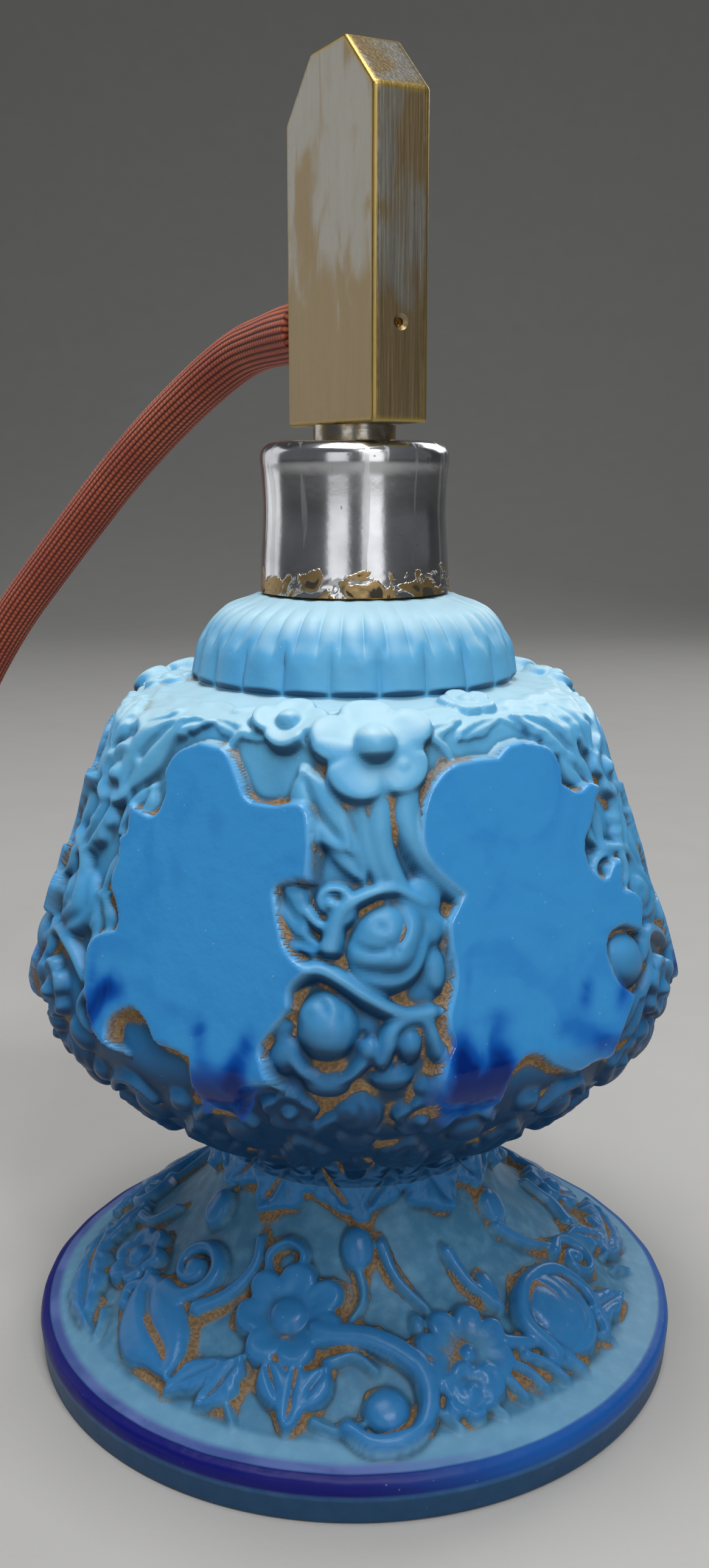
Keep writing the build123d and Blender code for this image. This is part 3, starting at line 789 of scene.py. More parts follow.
# The foot's ornament is flatter on top and steeper at its edges than the belly's. Then all of
# it is softened, as hot glass does, and the dome's flutes, which are crisper, are added.
relief[:stem_row] = 2.0 * np.tanh(relief[:stem_row] / 1.5)
relief = (np.roll(relief, 1, 1) + 2 * relief + np.roll(relief, -1, 1)) / 4
relief[1:-1] = (relief[:-2] + 2 * relief[1:-1] + relief[2:]) / 4
on_dome = outside_row & (height_row > 94.1) & (height_row < 105)
lobes = np.abs(np.cos(np.radians(azimuths) * 11))[None, :] ** 0.55
flutes = np.abs(np.cos(np.radians(azimuths) * 22 + 0.3))[None, :] ** 0.7
upper = smooth(height_row, 97.6, 100.6)
fade = smooth(height_row, 94.1, 94.8) * (1 - smooth(height_row, 102.6, 104.8))
relief = np.where(on_dome, fade * ((1 - upper) * 0.8 * lobes + upper * (0.36 * flutes + 0.2)), relief)
sway = np.sin(angle * 5 + height_row * 0.31) + np.sin(angle * 13 - height_row * 0.57 + 2)
uneven = 0.035 * (sway + np.sin(angle * 31 + height_row * 0.9)) * outside_row
lifted = np.where(np.arange(len(along)) <= stem_row, FOOT_RELIEF, BELLY_RELIEF)[:, None]
lifted = lifted * (1 - 0.2 * smooth(height_row, 78, 88) * (1 - on_dome))
glass = ground + outward(ground) * (relief * lifted + uneven)[..., None]

# Outlines of the two polished faces, which alternate round the bottle, as runs of points that
# meet in sharp cusps: right and up from the middle of the face at PANEL_LOW_Z.
FACE_WITH_CURL = [
    [(-2.6, 40), (1, 39.4), (3.4, 36.6), (5.2, 34.2), (8.4, 33.8), (12.6, 34.2), (14.2, 30.5), (14.8, 25.8)],
    [(14.8, 25.8), (12.8, 25.6), (10.8, 24.3), (12.4, 20), (13.4, 18.2), (16.3, 16.2)],
    [(16.3, 16.2), (14.7, 14), (15, 11.8)],
    [(15, 11.8), (12.3, 7.4), (12.8, 5.4), (14.2, 3.1)],
    [(14.2, 3.1), (12.2, 2.7), (9.9, 1.6), (9.2, 0), (7.6, -1.4), (5, -1.4), (3.2, -0.2), (2.8, 3.9)],
    [(2.8, 3.9), (-0.4, 4.5), (-2.2, 4.7), (-3.9, 6.7), (-6.2, 7.9), (-8.6, 6.6), (-9, 4), (-6.7, 2.4)],
    [(-6.7, 2.4), (-9.8, 3), (-12, 5.4), (-13.6, 9.4), (-14.2, 13.3), (-13, 15.6), (-10.4, 16.6)],
    [(-10.4, 16.6), (-10.4, 18.3), (-12.2, 22), (-11.7, 25)],
    [(-11.7, 25), (-12, 27.4), (-11, 28.3)],
    [(-11, 28.3), (-11.5, 31.8)],
    [(-11.5, 31.8), (-8.7, 30.7), (-7.2, 31), (-6.5, 33.4), (-7, 36), (-5.6, 38.6), (-2.6, 40)],
]
FACE_WITH_BAYS = [
    [(4.6, 39.9), (8.2, 38.8), (9.5, 36.5), (9.4, 34.3)],
    [(9.4, 34.3), (11.4, 33.2), (13.4, 34), (15.2, 33.3)],
    [(15.2, 33.3), (13.8, 31.5), (13, 29.6), (11.3, 26.8), (11.5, 24), (13.2, 22.4), (14.8, 24.1)],
    [(14.8, 24.1), (16.4, 24.2), (15.8, 20.6)],
    [(15.8, 20.6), (17.5, 20.2), (18.4, 18.6), (17.5, 15.2)],
    [(17.5, 15.2), (14.8, 16.4), (12.6, 15.5), (11.8, 13.2), (12.8, 10), (15.2, 8)],
    [(15.2, 8), (13.2, 5.4), (11.5, 3), (10.8, 1)],
    [(10.8, 1), (8.4, 1.2), (5.8, 0.5), (2, 2)],
    [(2, 2), (-0.3, 3.7), (-2.4, 3.7), (-4.2, 2), (-4.5, -1.1)],
    [(-4.5, -1.1), (-6.6, -1.8), (-9.8, -1.5), (-12.4, 0), (-13.6, 2.6), (-13.2, 5), (-11.5, 7.2)],
    [(-11.5, 7.2), (-11.8, 10), (-10.2, 13.6), (-9.8, 16.1)],
    [(-9.8, 16.1), (-9.9, 18.6), (-9.2, 21), (-7, 23.3)],
    [(-7, 23.3), (-9.6, 26), (-11.2, 28.6), (-11, 32), (-9.4, 35.4), (-6.4, 37.8), (-3, 38.4), (0.6, 38.4)],
    [(0.6, 38.4), (2.4, 39.6), (4.6, 39.9)],
]
# Deep blue streaks in the glass, as (right, up, half width, half height, lean, strength).
STREAKS_WITH_CURL = [
    (6.5, 0.5, 4.6, 2.8, 0, 1.3), (9.8, 4.5, 1.6, 4.5, -12, 0.8), (4.2, 6.5, 1.3, 4.2, 10, 0.4),
    (-11.5, 7, 1.4, 4.5, -20, 0.9), (-8.6, 9.6, 2.2, 1.8, 0, 0.6), (0.2, 8.6, 3.6, 1.5, -15, 0.35),
    (-2.6, 24.5, 1.5, 3.4, 15, 0.25), (1.6, 30.6, 1.4, 3, 18, 0.25), (-12.6, 11, 1, 4, 0, 0.5),
]
STREAKS_WITH_BAYS = [
    (-8.8, 1.4, 4.6, 3, 0, 1.5), (-10.6, 5.6, 1.8, 3, 0, 0.9), (-5.6, 4.4, 1.8, 3.6, 10, 0.8),
    (-5, 9, 3, 1.5, -8, 0.35), (7.6, 9.8, 1.4, 2.2, -20, 0.6), (4.6, 5.8, 3, 2, -10, 0.5),
    (9.6, 3.4, 3.6, 2, -20, 0.6), (13.4, 8.6, 1.6, 3.4, -25, 0.6), (-8.4, 13.6, 0.8, 3.6, -15, 0.3),
]
FACES = ((FACE_WITH_CURL, STREAKS_WITH_CURL), (FACE_WITH_BAYS, STREAKS_WITH_BAYS))


def inside_by(u, v, outline):
    """How far each point is inside a closed outline, less than 0 outside."""
    best = np.full(u.shape, 1e9)
    crossed = np.zeros(u.shape, bool)
    for (px, py), (qx, qy) in zip(outline, np.roll(outline, -1, axis=0)):
        dx, dy = qx - px, qy - py
        t = np.clip(((u - px) * dx + (v - py) * dy) / (dx * dx + dy * dy), 0, 1)
        best = np.minimum(best, np.hypot(u - px - t * dx, v - py - t * dy))
        level = (py > v) != (qy > v)
        crossed ^= level & (u < px + (v - py) * dx / (dy if dy else 1e-9))
    return np.where(crossed, best, -best)


polish = np.zeros(relief.shape)
rim_light = np.zeros(relief.shape)
cobalt = np.zeros(relief.shape)
tilt = math.atan(PANEL_SLOPE)
for number in range(6):
    face_azimuth = -30 + 60 * number
    outline_runs, streaks = FACES[number % 2]
    outline = np.concatenate([curved(run, 0.4)[:-1] for run in outline_runs])
    patch = np.ix_(np.nonzero(belly_rows[:, 0] & (ring_z > 46))[0],
                   np.nonzero(np.abs(off(azimuths, face_azimuth)) < 29)[0])
    a = math.radians(face_azimuth)
    out = np.array([math.sin(a), -math.cos(a), 0])
    right = np.array([math.cos(a), math.sin(a), 0])
    middle = out * PANEL_APOTHEM + [0, 0, PANEL_LOW_Z]
    facing = math.cos(tilt) * out + [0, 0, math.sin(tilt)]
    upward = [0, 0, math.cos(tilt)] - math.sin(tilt) * out
    from_middle = ground[patch] - middle
    u, v = from_middle @ right, from_middle @ upward
    turned_under = UNDER_TURN * np.clip(UNDER_FROM_Z - ground[patch][..., 2], 0, None) ** 2
    flat = ground[patch] - (from_middle @ facing + turned_under)[..., None] * facing
    inside = inside_by(u, v, outline)
    share = smooth(inside, -WALL, WALL)
    glass[patch] = glass[patch] * (1 - share[..., None]) + flat * share[..., None]
    polish[patch] = np.maximum(polish[patch], smooth(inside, -0.1, 0.35))
    rim_light[patch] = np.maximum(rim_light[patch], np.exp(-((inside - 0.1) / 0.28) ** 2))
    for right_by, up_by, wide, tall, lean, strength in streaks:
        c, s = math.cos(math.radians(lean)), math.sin(math.radians(lean))
        x = ((u - right_by) * c + (v - up_by) * s) / wide
        y = ((v - up_by) * c - (u - right_by) * s) / tall
        cobalt[patch] += strength * np.exp(-(x * x + y * y)) * smooth(inside, -1, 0)

# What the finish needs to know at each point: how deep in a hollow or high on a crest it is.
lift = np.where(polish > 0.5, GROUND_SUNK, relief)
wide_mean = lift.copy()
for _ in range(14):
    wide_mean = (np.roll(wide_mean, 1, 1) + 2 * wide_mean + np.roll(wide_mean, -1, 1)) / 4
    wide_mean[1:-1] = (wide_mean[:-2] + 2 * wide_mean[1:-1] + wide_mean[2:]) / 4
hollow = np.clip((wide_mean - lift) / 0.75, 0, 1) * outside_row
foot_rows = (np.arange(len(along)) <= stem_row)[:, None] & (height_row < FOOT_TOP_Z)
on_the_foot = np.broadcast_to(foot_rows, polish.shape)
belly_crest = np.clip((lift - wide_mean) / 0.7, 0, 1)
crest = np.where(on_the_foot, smooth(relief, 0.45, 1.15), belly_crest) * (1 - polish)
rim_side = 1 - smooth(np.abs(off(azimuths, -58)), 56, 92)[None, :]
bevel = smooth(radius_row, 43.6, 44.0) * smooth(height_row, 3.3, 3.8) * on_the_foot
shaded_side_wall = smooth(radius_row, 44.2, 44.6) * (1 - smooth(height_row, 3.2, 3.8)) * on_the_foot
rim_top = smooth(height_row, 5, 5.6) * (1 - bevel) * on_the_foot
violet = smooth(radius_row, 42.0, 43.0) * rim_top * rim_side
pale_ring = smooth(radius_row, 39.4, 40.4) * rim_top
upward = outward(glass)[..., 2]

bottle = grid_piece("glass_bottle_pressed", glass * 0.001, close_ends=True)
for name, values in (
    ("polish", polish), ("rim_light", rim_light), ("cobalt", cobalt), ("hollow", hollow),
    ("crest", crest), ("foot", on_the_foot * 1.0), ("violet", violet), ("upward", upward),
    ("rim", bevel), ("rim_side", rim_side), ("shaded_side_wall", shaded_side_wall), ("pale_ring", pale_ring),
):
    mark(bottle, name, values + 0 * polish)

opal = Finish("blue_glass", 0.3, IOR=1.45, Specular_IOR_Level=0.3)
# Paler high up: partly the glass's own paler tint and dust there, partly painted light falling from above.
paler_and_lit_top = opal.step(opal.up(), 0.066, 0.096)
cloud = opal.noise(0.011, 4, 0.6)
fine_cloud = opal.noise(0.0022, 4)
grit = opal.noise(0.00045, 3)
satin = opal.blend(paler_and_lit_top, "#3882b2", "#5fa9d2")
satin = opal.over(opal.step(cloud, 0.4, 0.65), 0.35, satin, "#3490cf")
foot_ground = opal.blend(opal.step(fine_cloud, 0.35, 0.75), "#437da2", "#5b93b6")
satin = opal.blend(opal.grown("foot"), satin, foot_ground)
satin = opal.over(opal.grown("pale_ring"), 0.55, satin, "#76a9c8")
crest_colour = opal.blend(opal.grown("foot"), "#78b8dc", "#2a78b8")
crested = opal.both(opal.grown("crest"), opal.between(opal.grown("foot"), 0.5, 0.8))
satin = opal.blend(crested, satin, crest_colour)
shoulder = opal.step(opal.up(), 0.083, 0.092)
# Painted shade: the hollows of the ornament's ground are darkened, less so on the shoulder.
depth = opal.both(opal.step(opal.grown("hollow"), 0.08, 0.7), opal.between(shoulder, 0.85, 0.3))
satin = opal.blend(depth, satin, "#173f5c")
# Upward-facing parts of the shoulder are painted pale: partly dust lying there, partly painted light from
# above.
top_light_and_dust = opal.both(opal.step(opal.grown("upward"), 0.42, 0.8), shoulder)
satin = opal.over(top_light_and_dust, 0.9, satin, "#aed2e0")
off_foot = opal.without(opal.grown("foot"))
# Painted shade: the belly darkens towards its bottom, away from the foot.
low_belly_shade = opal.both(opal.step(opal.up(), 0.07, 0.05), off_foot)
satin = opal.over(low_belly_shade, 0.7, satin, "#0e4a80")
# Painted shade: downward-facing parts of the belly and stem are darkened almost to navy.
under = opal.both(opal.step(opal.grown("upward"), 0.15, -0.4), off_foot)
satin = opal.over(under, 0.85, satin, "#062848")
panel = opal.over(opal.step(opal.noise(0.013, 3, 1.5), 0.45, 0.7), 0.45, "#388bc8", "#2474bc")
body = opal.blend(opal.grown("polish"), satin, panel)
body = opal.over(opal.grown("rim_light"), 0.3, body, "#86c4ec")
uneven_swirl = opal.ragged(opal.noise(0.006, 2, 1.2), 1.5)
swirl = opal.add(opal.grown("cobalt"), opal.both(uneven_swirl, opal.grown("cobalt")))
body = opal.blend(opal.step(swirl, 0.05, 0.8), body, "#0d55ad")
body = opal.blend(opal.step(swirl, 0.4, 1.35), body, "#00226c")
violet_colour = opal.blend(opal.step(cloud, 0.4, 0.6), "#4a5c9c", "#6173b0")
body = opal.blend(opal.grown("violet"), body, violet_colour)
# The foot's outer side wall is darkened: partly darker glass, partly painted shade where it faces down and
# away from the light.
body = opal.over(opal.grown("shaded_side_wall"), 0.9, body, "#123a60")
rim_colour = opal.blend(opal.grown("rim_side"), "#0f529f", "#02096a")
body = opal.blend(opal.grown("rim"), body, rim_colour)
low_down = opal.step(opal.up(), 0.078, 0.058)
patchy = opal.ragged(opal.noise(0.0075, 4), 3.2)
dirt_reach = opal.add(opal.add(opal.grown("hollow"), patchy), opal.both(low_down, 0.1))
dirt_reach = opal.add(dirt_reach, opal.both(opal.grown("foot"), 0.3))
sheltered = opal.both(opal.step(opal.grown("hollow"), 0.02, 0.18), opal.without(opal.grown("polish")))
sheltered = opal.both(sheltered, opal.without(opal.grown("pale_ring")))
off_shoulder = opal.between(shoulder, 1, 0.45)
dirt = opal.both(opal.step(dirt_reach, 0.7, 0.92), opal.both(sheltered, off_shoulder))
clay = opal.blend(opal.step(grit, 0.3, 0.7), "#80633f", "#a6875c")
stain = opal.both(opal.step(dirt_reach, 0.3, 0.85), opal.both(sheltered, off_shoulder))
body = opal.over(stain, 0.4, body, "#4c5751")
body = opal.over(dirt, 0.85, body, clay)
dust = opal.both(opal.step(opal.cells(0.0016), 0.09, 0.04), opal.step(fine_cloud, 0.45, 0.6))
body = opal.over(dust, 0.2, body, "#cfdfe8")
opal.set("Base Color", body)
crest_shine = opal.both(opal.grown("crest"), 0.17)
dull = opal.sum("SUBTRACT", opal.between(opal.grown("polish"), 0.44, 0.1), crest_shine)
opal.set("Roughness", opal.larger(dull, opal.both(dirt, 0.9)))
opal.set("Normal", opal.bump(fine_cloud, 0.00012, opal.bump(opal.both(grit, dirt), 0.0004)))
bottle.data.materials.append(opal.material)
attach(bottle, "bottle")
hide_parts("glass_bottle")

# ---------------------------------------------------------------------------
# Collar
# A spun brass sleeve with a rolled shoulder, chromed. It screws down over the
# neck ring. The chrome flakes and is crusted with dried scent at its lower edge.
# ---------------------------------------------------------------------------
COLLAR_ROUND = 256
low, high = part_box("collar_cap")
collar_low, collar_top, collar_r = low.z, high.z, high.x
stem_hole = 0.00543
collar_profile = curved([
    (collar_r - 0.0001, collar_low), (collar_r - 0.0002, collar_low + 0.004),
    (collar_r - 0.00055, collar_low + 0.010), (collar_r - 0.0004, collar_top - 0.0045),
    (collar_r - 0.0002, collar_top - 0.0024), (collar_r - 0.0004, collar_top - 0.0012),
    (collar_r - 0.0013, collar_top - 0.0003), (collar_r - 0.0026, collar_top),
], 0.00022)
collar_inside = evenly([
    (collar_r - 0.0026, collar_top), (stem_hole, collar_top), (stem_hole, collar_top - 0.0008),
    (0.0103, collar_top - 0.0008), (0.0115, collar_top - 0.0024), (0.0115, collar_low),
], 0.0006)
collar_meridian = np.concatenate([collar_profile, collar_inside[1:], collar_profile[:1]])
collar_turn = np.linspace(0, 2 * math.pi, COLLAR_ROUND, endpoint=False)[None, :]
shown_rows = (np.arange(len(collar_meridian)) < len(collar_profile))[:, None]
collar_across, collar_up = collar_meridian[:, 0][:, None], collar_meridian[:, 1][:, None]
near_edge = 1 - smooth(collar_up, collar_low + 0.0004, collar_low + 0.0062)
lumpy = np.sin(collar_turn * 37 + 3 * np.sin(collar_turn * 5))
lumpy = lumpy * np.sin(collar_up * 5200 + 4 * np.sin(collar_turn * 9))
crust = np.clip(lumpy, 0, 1) * near_edge ** 4 * shown_rows * (0.5 + 0.5 * np.sin(collar_turn * 3 + 1))
round_from_dent = (collar_turn - 1.45 * math.pi) / 0.05
up_from_dent = (collar_up - collar_low - 0.0012) / 0.0007
dented = np.exp(-round_from_dent ** 2 - up_from_dent ** 2)
collar_radius = collar_across + 0.00016 * crust - 0.0003 * dented * shown_rows
collar = grid_piece("collar_chromed", np.stack([
    collar_radius * np.cos(collar_turn), collar_radius * np.sin(collar_turn),
    collar_up + 0 * collar_turn], axis=-1))
mark(collar, "edge", near_edge + 0 * collar_turn)

chrome = Finish("worn_chrome", 0.09, 1.0)
flaking = chrome.add(chrome.grown("edge"), chrome.ragged(chrome.noise(0.0036, 5, 0.8), 3.0))
bare = chrome.step(flaking, 0.8, 0.93)
crusted = chrome.step(flaking, 1.16, 1.3)
specks = chrome.step(chrome.noise(0.0011, 3), 0.68, 0.74)
scratch = chrome.step(chrome.noise(0.0016, 2, 0.2, chrome.stretched(1, 1, 0.06)), 0.62, 0.66)
metal = chrome.blend(chrome.step(chrome.noise(0.006, 3), 0.3, 0.7), "#c3c4c8", "#dcdde0")
metal = chrome.over(specks, 0.6, metal, "#6d6a62")
metal = chrome.over(bare, 0.85, metal, chrome.blend(chrome.noise(0.0015), "#7a6128", "#c49a45"))
metal = chrome.blend(crusted, metal, "#3b3328")
chrome.set("Base Color", metal)
chrome.set("Metallic", chrome.between(crusted, 1, 0.2))
worn = chrome.larger(chrome.both(bare, 0.42), chrome.both(crusted, 0.85))
chrome.set("Roughness", chrome.larger(worn, chrome.between(chrome.larger(specks, scratch), 0.17, 0.32)))
chrome.set("Normal", chrome.bump(chrome.noise(0.0009, 4), 0.00001, chrome.bump(bare, 0.00012)))
collar.data.materials.append(chrome.material)
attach(collar, "collar")
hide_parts("collar_cap")

# ---------------------------------------------------------------------------
# Spray head
# A flat brass block with a chamfered crown, once silvered and now rubbed back
# to brass along every edge. The spray leaves by a pin hole in its narrow side.
# ---------------------------------------------------------------------------
HEAD_TURN = math.radians(26.7)
HEAD_WIDE = 0.0248
HEAD_THICK = 0.0076
RIDGE_IN = 0.0076
SHOULDER_DROP = 0.0069
EDGE_SOFT = 0.00045
PIN_HOLE_R = 0.0005
PIN_HOLE_Z = 0.1382
HOLE_SIDES = 32
low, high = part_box("head_block")
head_low, head_top = low.z, high.z
wide_dir = Vector((-math.sin(HEAD_TURN), math.cos(HEAD_TURN), 0))
thick_dir = Vector((math.cos(HEAD_TURN), math.sin(HEAD_TURN), 0))
half = HEAD_WIDE / 2
head_outline = [
    (-half, head_low), (half, head_low), (half, head_top - SHOULDER_DROP), (half - RIDGE_IN, head_top),
    (RIDGE_IN - half, head_top), (-half, head_top - SHOULDER_DROP),
]


def head_point(w, t, z):
    return wide_dir * w + thick_dir * t + Vector((0, 0, z))


shape = bmesh.new()
sides = [
    [shape.verts.new(head_point(w, t, z)) for w, z in head_outline]
    for t in (-HEAD_THICK / 2, HEAD_THICK / 2)
]
shape.faces.new(sides[0])
shape.faces.new(sides[1][::-1])
for i in range(len(head_outline)):
    j = (i + 1) % len(head_outline)
    shape.faces.new((sides[0][j], sides[0][i], sides[1][i], sides[1][j]))
bmesh.ops.recalc_face_normals(shape, faces=shape.faces)
bmesh.ops.bevel(shape, geom=shape.edges[:], offset=EDGE_SOFT, segments=4, affect="EDGES", profile=0.5)
head_mesh = bpy.data.meshes.new("head_block_silvered")
shape.to_mesh(head_mesh)
shape.free()
head = bpy.data.objects.new("head_block_silvered", head_mesh)
bpy.context.scene.collection.objects.link(head)

drill = bmesh.new()
hole_start = head_point(-half - 0.001, 0, PIN_HOLE_Z)
rings = []
for depth, radius in ((0, 0.0021), (0.0012, 0.00078), (0.0014, PIN_HOLE_R), (0.0026, PIN_HOLE_R)):
    rings.append([])
    for a in np.linspace(0, 2 * math.pi, HOLE_SIDES, endpoint=False):
        from_middle = radius * (math.cos(a) * thick_dir + math.sin(a) * Vector((0, 0, 1)))
        rings[-1].append(drill.verts.new(hole_start + wide_dir * depth + from_middle))
drill.faces.new(rings[0])
drill.faces.new(rings[-1][::-1])
for first, second in zip(rings, rings[1:]):
    for i in range(HOLE_SIDES):
        j = (i + 1) % HOLE_SIDES
        drill.faces.new((first[i], first[j], second[j], second[i]))
bmesh.ops.recalc_face_normals(drill, faces=drill.faces)
drill_mesh = bpy.data.meshes.new("drill")
drill.to_mesh(drill_mesh)
drill.free()
drill_object = bpy.data.objects.new("drill", drill_mesh)
bpy.context.scene.collection.objects.link(drill_object)
cut = head.modifiers.new("pin_hole", "BOOLEAN")
cut.object = drill_object
cut.operation = "DIFFERENCE"
cut.solver = "EXACT"
bpy.context.view_layer.update()
drilled = bpy.data.meshes.new_from_object(head.evaluated_get(bpy.context.evaluated_depsgraph_get()))
head.modifiers.clear()
head.data = drilled
bpy.data.objects.remove(drill_object)

shape = bmesh.new()
shape.from_mesh(head.data)
for longest in (0.006, 0.003, 0.0015, 0.0009):
    bmesh.ops.triangulate(shape, faces=shape.faces[:])
    for _ in range(2):
        long_edges = [e for e in shape.edges if e.calc_length() > longest]
        bmesh.ops.subdivide_edges(shape, edges=long_edges, cuts=1)
        bmesh.ops.triangulate(shape, faces=[f for f in shape.faces if len(f.verts) > 3])
for face in shape.faces:
    face.smooth = True
shape.to_mesh(head.data)
shape.free()
head.data.set_sharp_from_angle(angle=math.radians(32))


def edge_closeness(point):
    """1 on an edge of the head and 0 a millimetre or more from every edge."""
    w, t, z = point.dot(wide_dir), point.dot(thick_dir), point.z
    to_outline = 1.0
    to_corner = 1.0
    for (aw, az), (bw, bz) in zip(head_outline, head_outline[1:] + head_outline[:1]):
        dw, dz = bw - aw, bz - az
        along_it = min(1, max(0, ((w - aw) * dw + (z - az) * dz) / (dw * dw + dz * dz)))
        to_outline = min(to_outline, math.hypot(w - aw - along_it * dw, z - az - along_it * dz))
        to_corner = min(to_corner, math.hypot(w - aw, z - az))
    to_face = HEAD_THICK / 2 - abs(t)
    nearest_edge = min(math.hypot(to_outline, to_face), to_corner)
    return max(0.0, 1 - nearest_edge / 0.0013)


mark(head, "edge", [edge_closeness(v.co) for v in head.data.vertices])

silvered = Finish("silvered_brass", 0.36, 1.0)
down = silvered.stretched(1, 1, 0.45)
patches = silvered.noise(0.006, 5, 0.7, down)
lower = silvered.step(silvered.up(), head_low + 0.026, head_low + 0.004)
rubbed = silvered.step(silvered.add(patches, silvered.both(lower, 0.3)), 0.46, 0.66)
grain = silvered.noise(0.00035, 3, 0, silvered.stretched(1, 1, 0.03))
face_metal = silvered.blend(rubbed, "#98958c", "#8b7650")
browned = silvered.step(silvered.noise(0.0035, 4), 0.55, 0.8)
face_metal = silvered.over(browned, 0.35, face_metal, "#85704a")
face_metal = silvered.over(grain, 0.18, face_metal, "#d6cfbd")
worn_edge = silvered.step(silvered.add(silvered.grown("edge"), silvered.both(patches, 0.35)), 0.55, 0.95)
silvered.set("Base Color", silvered.blend(worn_edge, face_metal, "#ad9558"))
brushed = silvered.add(silvered.both(grain, 0.6), silvered.both(patches, 0.4))
silvered.set("Roughness", silvered.between(brushed, 0.26, 0.52))
silvered.set("Normal", silvered.bump(grain, 0.00004, silvered.bump(silvered.noise(0.0025, 3), 0.00003)))
head.data.materials.append(silvered.material)
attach(head, "head")
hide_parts("head_block")

# ---------------------------------------------------------------------------
# Brass and steel fittings
# Turned parts inside the head and on the neck, and the two check balls. They
# keep their turned shapes; the brass is browned and the stem's silver is worn.
# ---------------------------------------------------------------------------


def give(nodes, finish):
    """Puts a finish on CAD nodes, whose shapes are right as they are."""
    for node in nodes:
        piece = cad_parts[node]
        piece.data.materials.clear()
        piece.data.materials.append(finish.material)


brass = Finish("turned_brass", 0.34, 1.0)
turned = brass.noise(0.0004, 2, 0, brass.stretched(0.15, 0.15, 1))
tarnish = brass.step(brass.noise(0.003, 4), 0.4, 0.7)
brass.set("Base Color", brass.blend(tarnish, "#c09646", "#7d5c2a"))
brass.set("Roughness", brass.between(tarnish, 0.25, 0.5))
brass.set("Normal", brass.bump(turned, 0.00003))
give(["neck_ring", "spray_core", "nozzle_jet", "fine_tube", "hose_nipple", "collar_insert"], brass)

plated = Finish("plated_stem", 0.3, 1.0)
rubbed_stem = plated.step(plated.noise(0.0028, 4), 0.42, 0.62)
plated.set("Base Color", plated.blend(rubbed_stem, "#a9a79e", "#8f7340"))
plated.set("Roughness", plated.between(rubbed_stem, 0.2, 0.42))
plated.set("Normal", plated.bump(plated.noise(0.0004, 2, 0, plated.stretched(0.15, 0.15, 1)), 0.00003))
give(["stem_tube"], plated)

steel = Finish("ball_steel", 0.15, 1.0)
steel.set("Base Color", steel.blend(steel.step(steel.noise(0.0008, 3), 0.4, 0.7), "#b9bbbf", "#8c8f94"))
steel.set("Roughness", steel.between(steel.noise(0.0004, 3), 0.08, 0.3))
give(["outlet_ball", "inlet_ball"], steel)

nickel = Finish("valve_nickel", 0.25, 1.0)
nickel_worn = nickel.step(nickel.noise(0.0024, 4), 0.5, 0.72)
nickel.set("Base Color", nickel.blend(nickel_worn, "#b7b4ac", "#94793f"))
nickel.set("Roughness", nickel.between(nickel_worn, 0.16, 0.45))
nickel.set("Normal", nickel.bump(nickel.noise(0.0006, 3), 0.00003))
give(["outlet_valve_body", "outlet_ferrule", "inlet_ferrule", "inlet_valve_body"], nickel)

# ---------------------------------------------------------------------------
# Soft fittings
# Plaster that holds the neck ring on the glass, a cork and rubber washer, and
# the clear plastic dip tube that reaches down into the scent.
# ---------------------------------------------------------------------------
plaster = Finish("neck_plaster", 0.9)
plaster.set("Base Color", plaster.blend(plaster.noise(0.0015, 4), "#b9ad98", "#d9d0bf"))
plaster.set("Normal", plaster.bump(plaster.noise(0.0004, 4), 0.0001))
give(["neck_cement"], plaster)

cork = Finish("washer_cork", 0.8)
cork.set("Base Color", cork.blend(cork.step(cork.noise(0.0009, 4), 0.4, 0.65), "#6b4a2e", "#9c7347"))
cork.set("Normal", cork.bump(cork.noise(0.0005, 4), 0.00015))
give(["neck_gasket"], cork)

dip = Finish("dip_plastic", 0.2)
dip.set("Base Color", dip.blend(dip.noise(0.004, 3), "#d8d2bd", "#bfb48f"))
dip.set("Normal", dip.bump(dip.noise(0.002, 2), 0.00003))
give(["dip_tube"], dip)

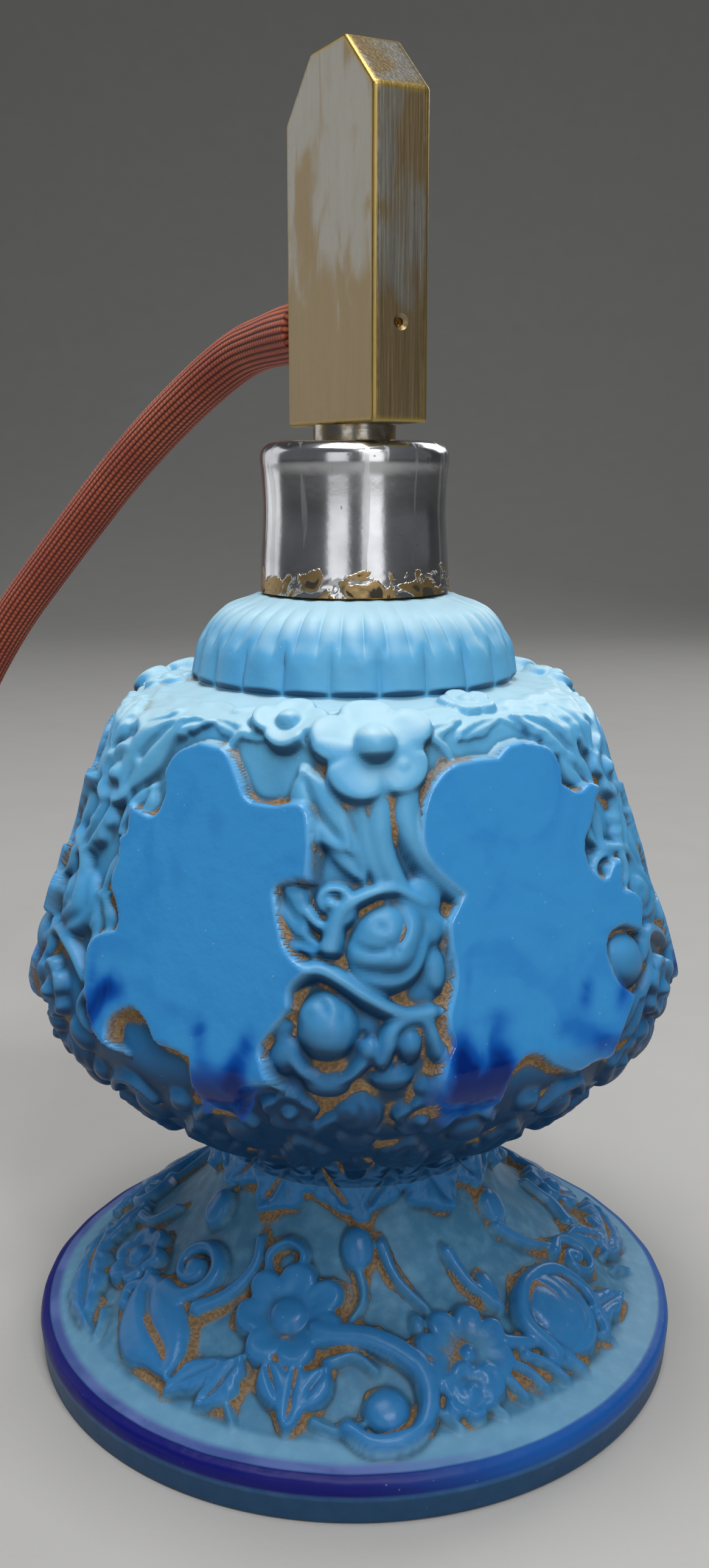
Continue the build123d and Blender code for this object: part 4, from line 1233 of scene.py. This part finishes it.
# ---------------------------------------------------------------------------
# Studio
# A pale sheet that curves up behind the bottle. Soft lights stand above it and
# at its four corners, and a window with two panes is at the front right.
# ---------------------------------------------------------------------------
SHEET_WIDE = 12.0
sweep = [(-6.0, 0.0), (-1.0, 0.0), (0.9, 0.0)]
for number in range(1, 17):
    a = math.radians(90 * number / 16)
    sweep.append((0.9 + 0.8 * math.sin(a), 0.8 - 0.8 * math.cos(a)))
sweep.append((1.7, 4.0))
sheet_across = np.linspace(-SHEET_WIDE / 2, SHEET_WIDE / 2, 9)
sheet_grid = np.array([[(x, y, z) for x in sheet_across] for y, z in sweep])
floor = grid_piece("floor", sheet_grid[:, ::-1], around=False)
paper = Finish("pale_paper", 0.9)
paper.set("Base Color", paper.blend(paper.noise(0.02, 3), "#aeadaa", "#b5b4b2"))
paper.set("Normal", paper.bump(paper.noise(0.0012, 3), 0.00005))
floor.data.materials.append(paper.material)

for name, place, aim, size, tall, power in (
    ("light_above", (-0.04, -0.06, 0.8), (0, 0, 0.06), 0.45, 0.45, 4.6),
    ("light_window_left_pane", (0.11, -0.40, 0.50), (0, 0, 0.08), 0.05, 0.15, 0.5),
    ("light_window_right_pane", (0.19, -0.36, 0.50), (0, 0, 0.08), 0.05, 0.15, 0.5),
    ("light_behind_left", (-0.8, 0.48, 0.32), (0, 0, 0.12), 0.6, 0.8, 1.3),
    ("light_front_left", (-0.34, -0.95, 0.30), (0, 0, 0.12), 0.46, 0.7, 1.0),
    ("light_front_right", (0.38, -0.92, 0.34), (0, 0, 0.12), 0.46, 0.7, 1.3),
    ("light_behind_right", (0.45, 0.6, 0.5), (0, 0, 0.1), 0.4, 0.4, 1.6),
):
    data = bpy.data.lights.new(name, "AREA")
    data.shape = "RECTANGLE"
    data.size = size
    data.size_y = tall
    data.energy = power
    lamp = bpy.data.objects.new(name, data)
    lamp.location = place
    lamp.rotation_euler = (Vector(aim) - Vector(place)).to_track_quat("-Z", "Y").to_euler()
    bpy.context.scene.collection.objects.link(lamp)

world = bpy.data.worlds.new("studio")
world.use_nodes = True
world.node_tree.nodes["Background"].inputs["Color"].default_value = (0.80, 0.82, 0.86, 1)
world.node_tree.nodes["Background"].inputs["Strength"].default_value = 0.14
bpy.context.scene.world = world
bpy.context.scene.view_settings.view_transform = "Standard"
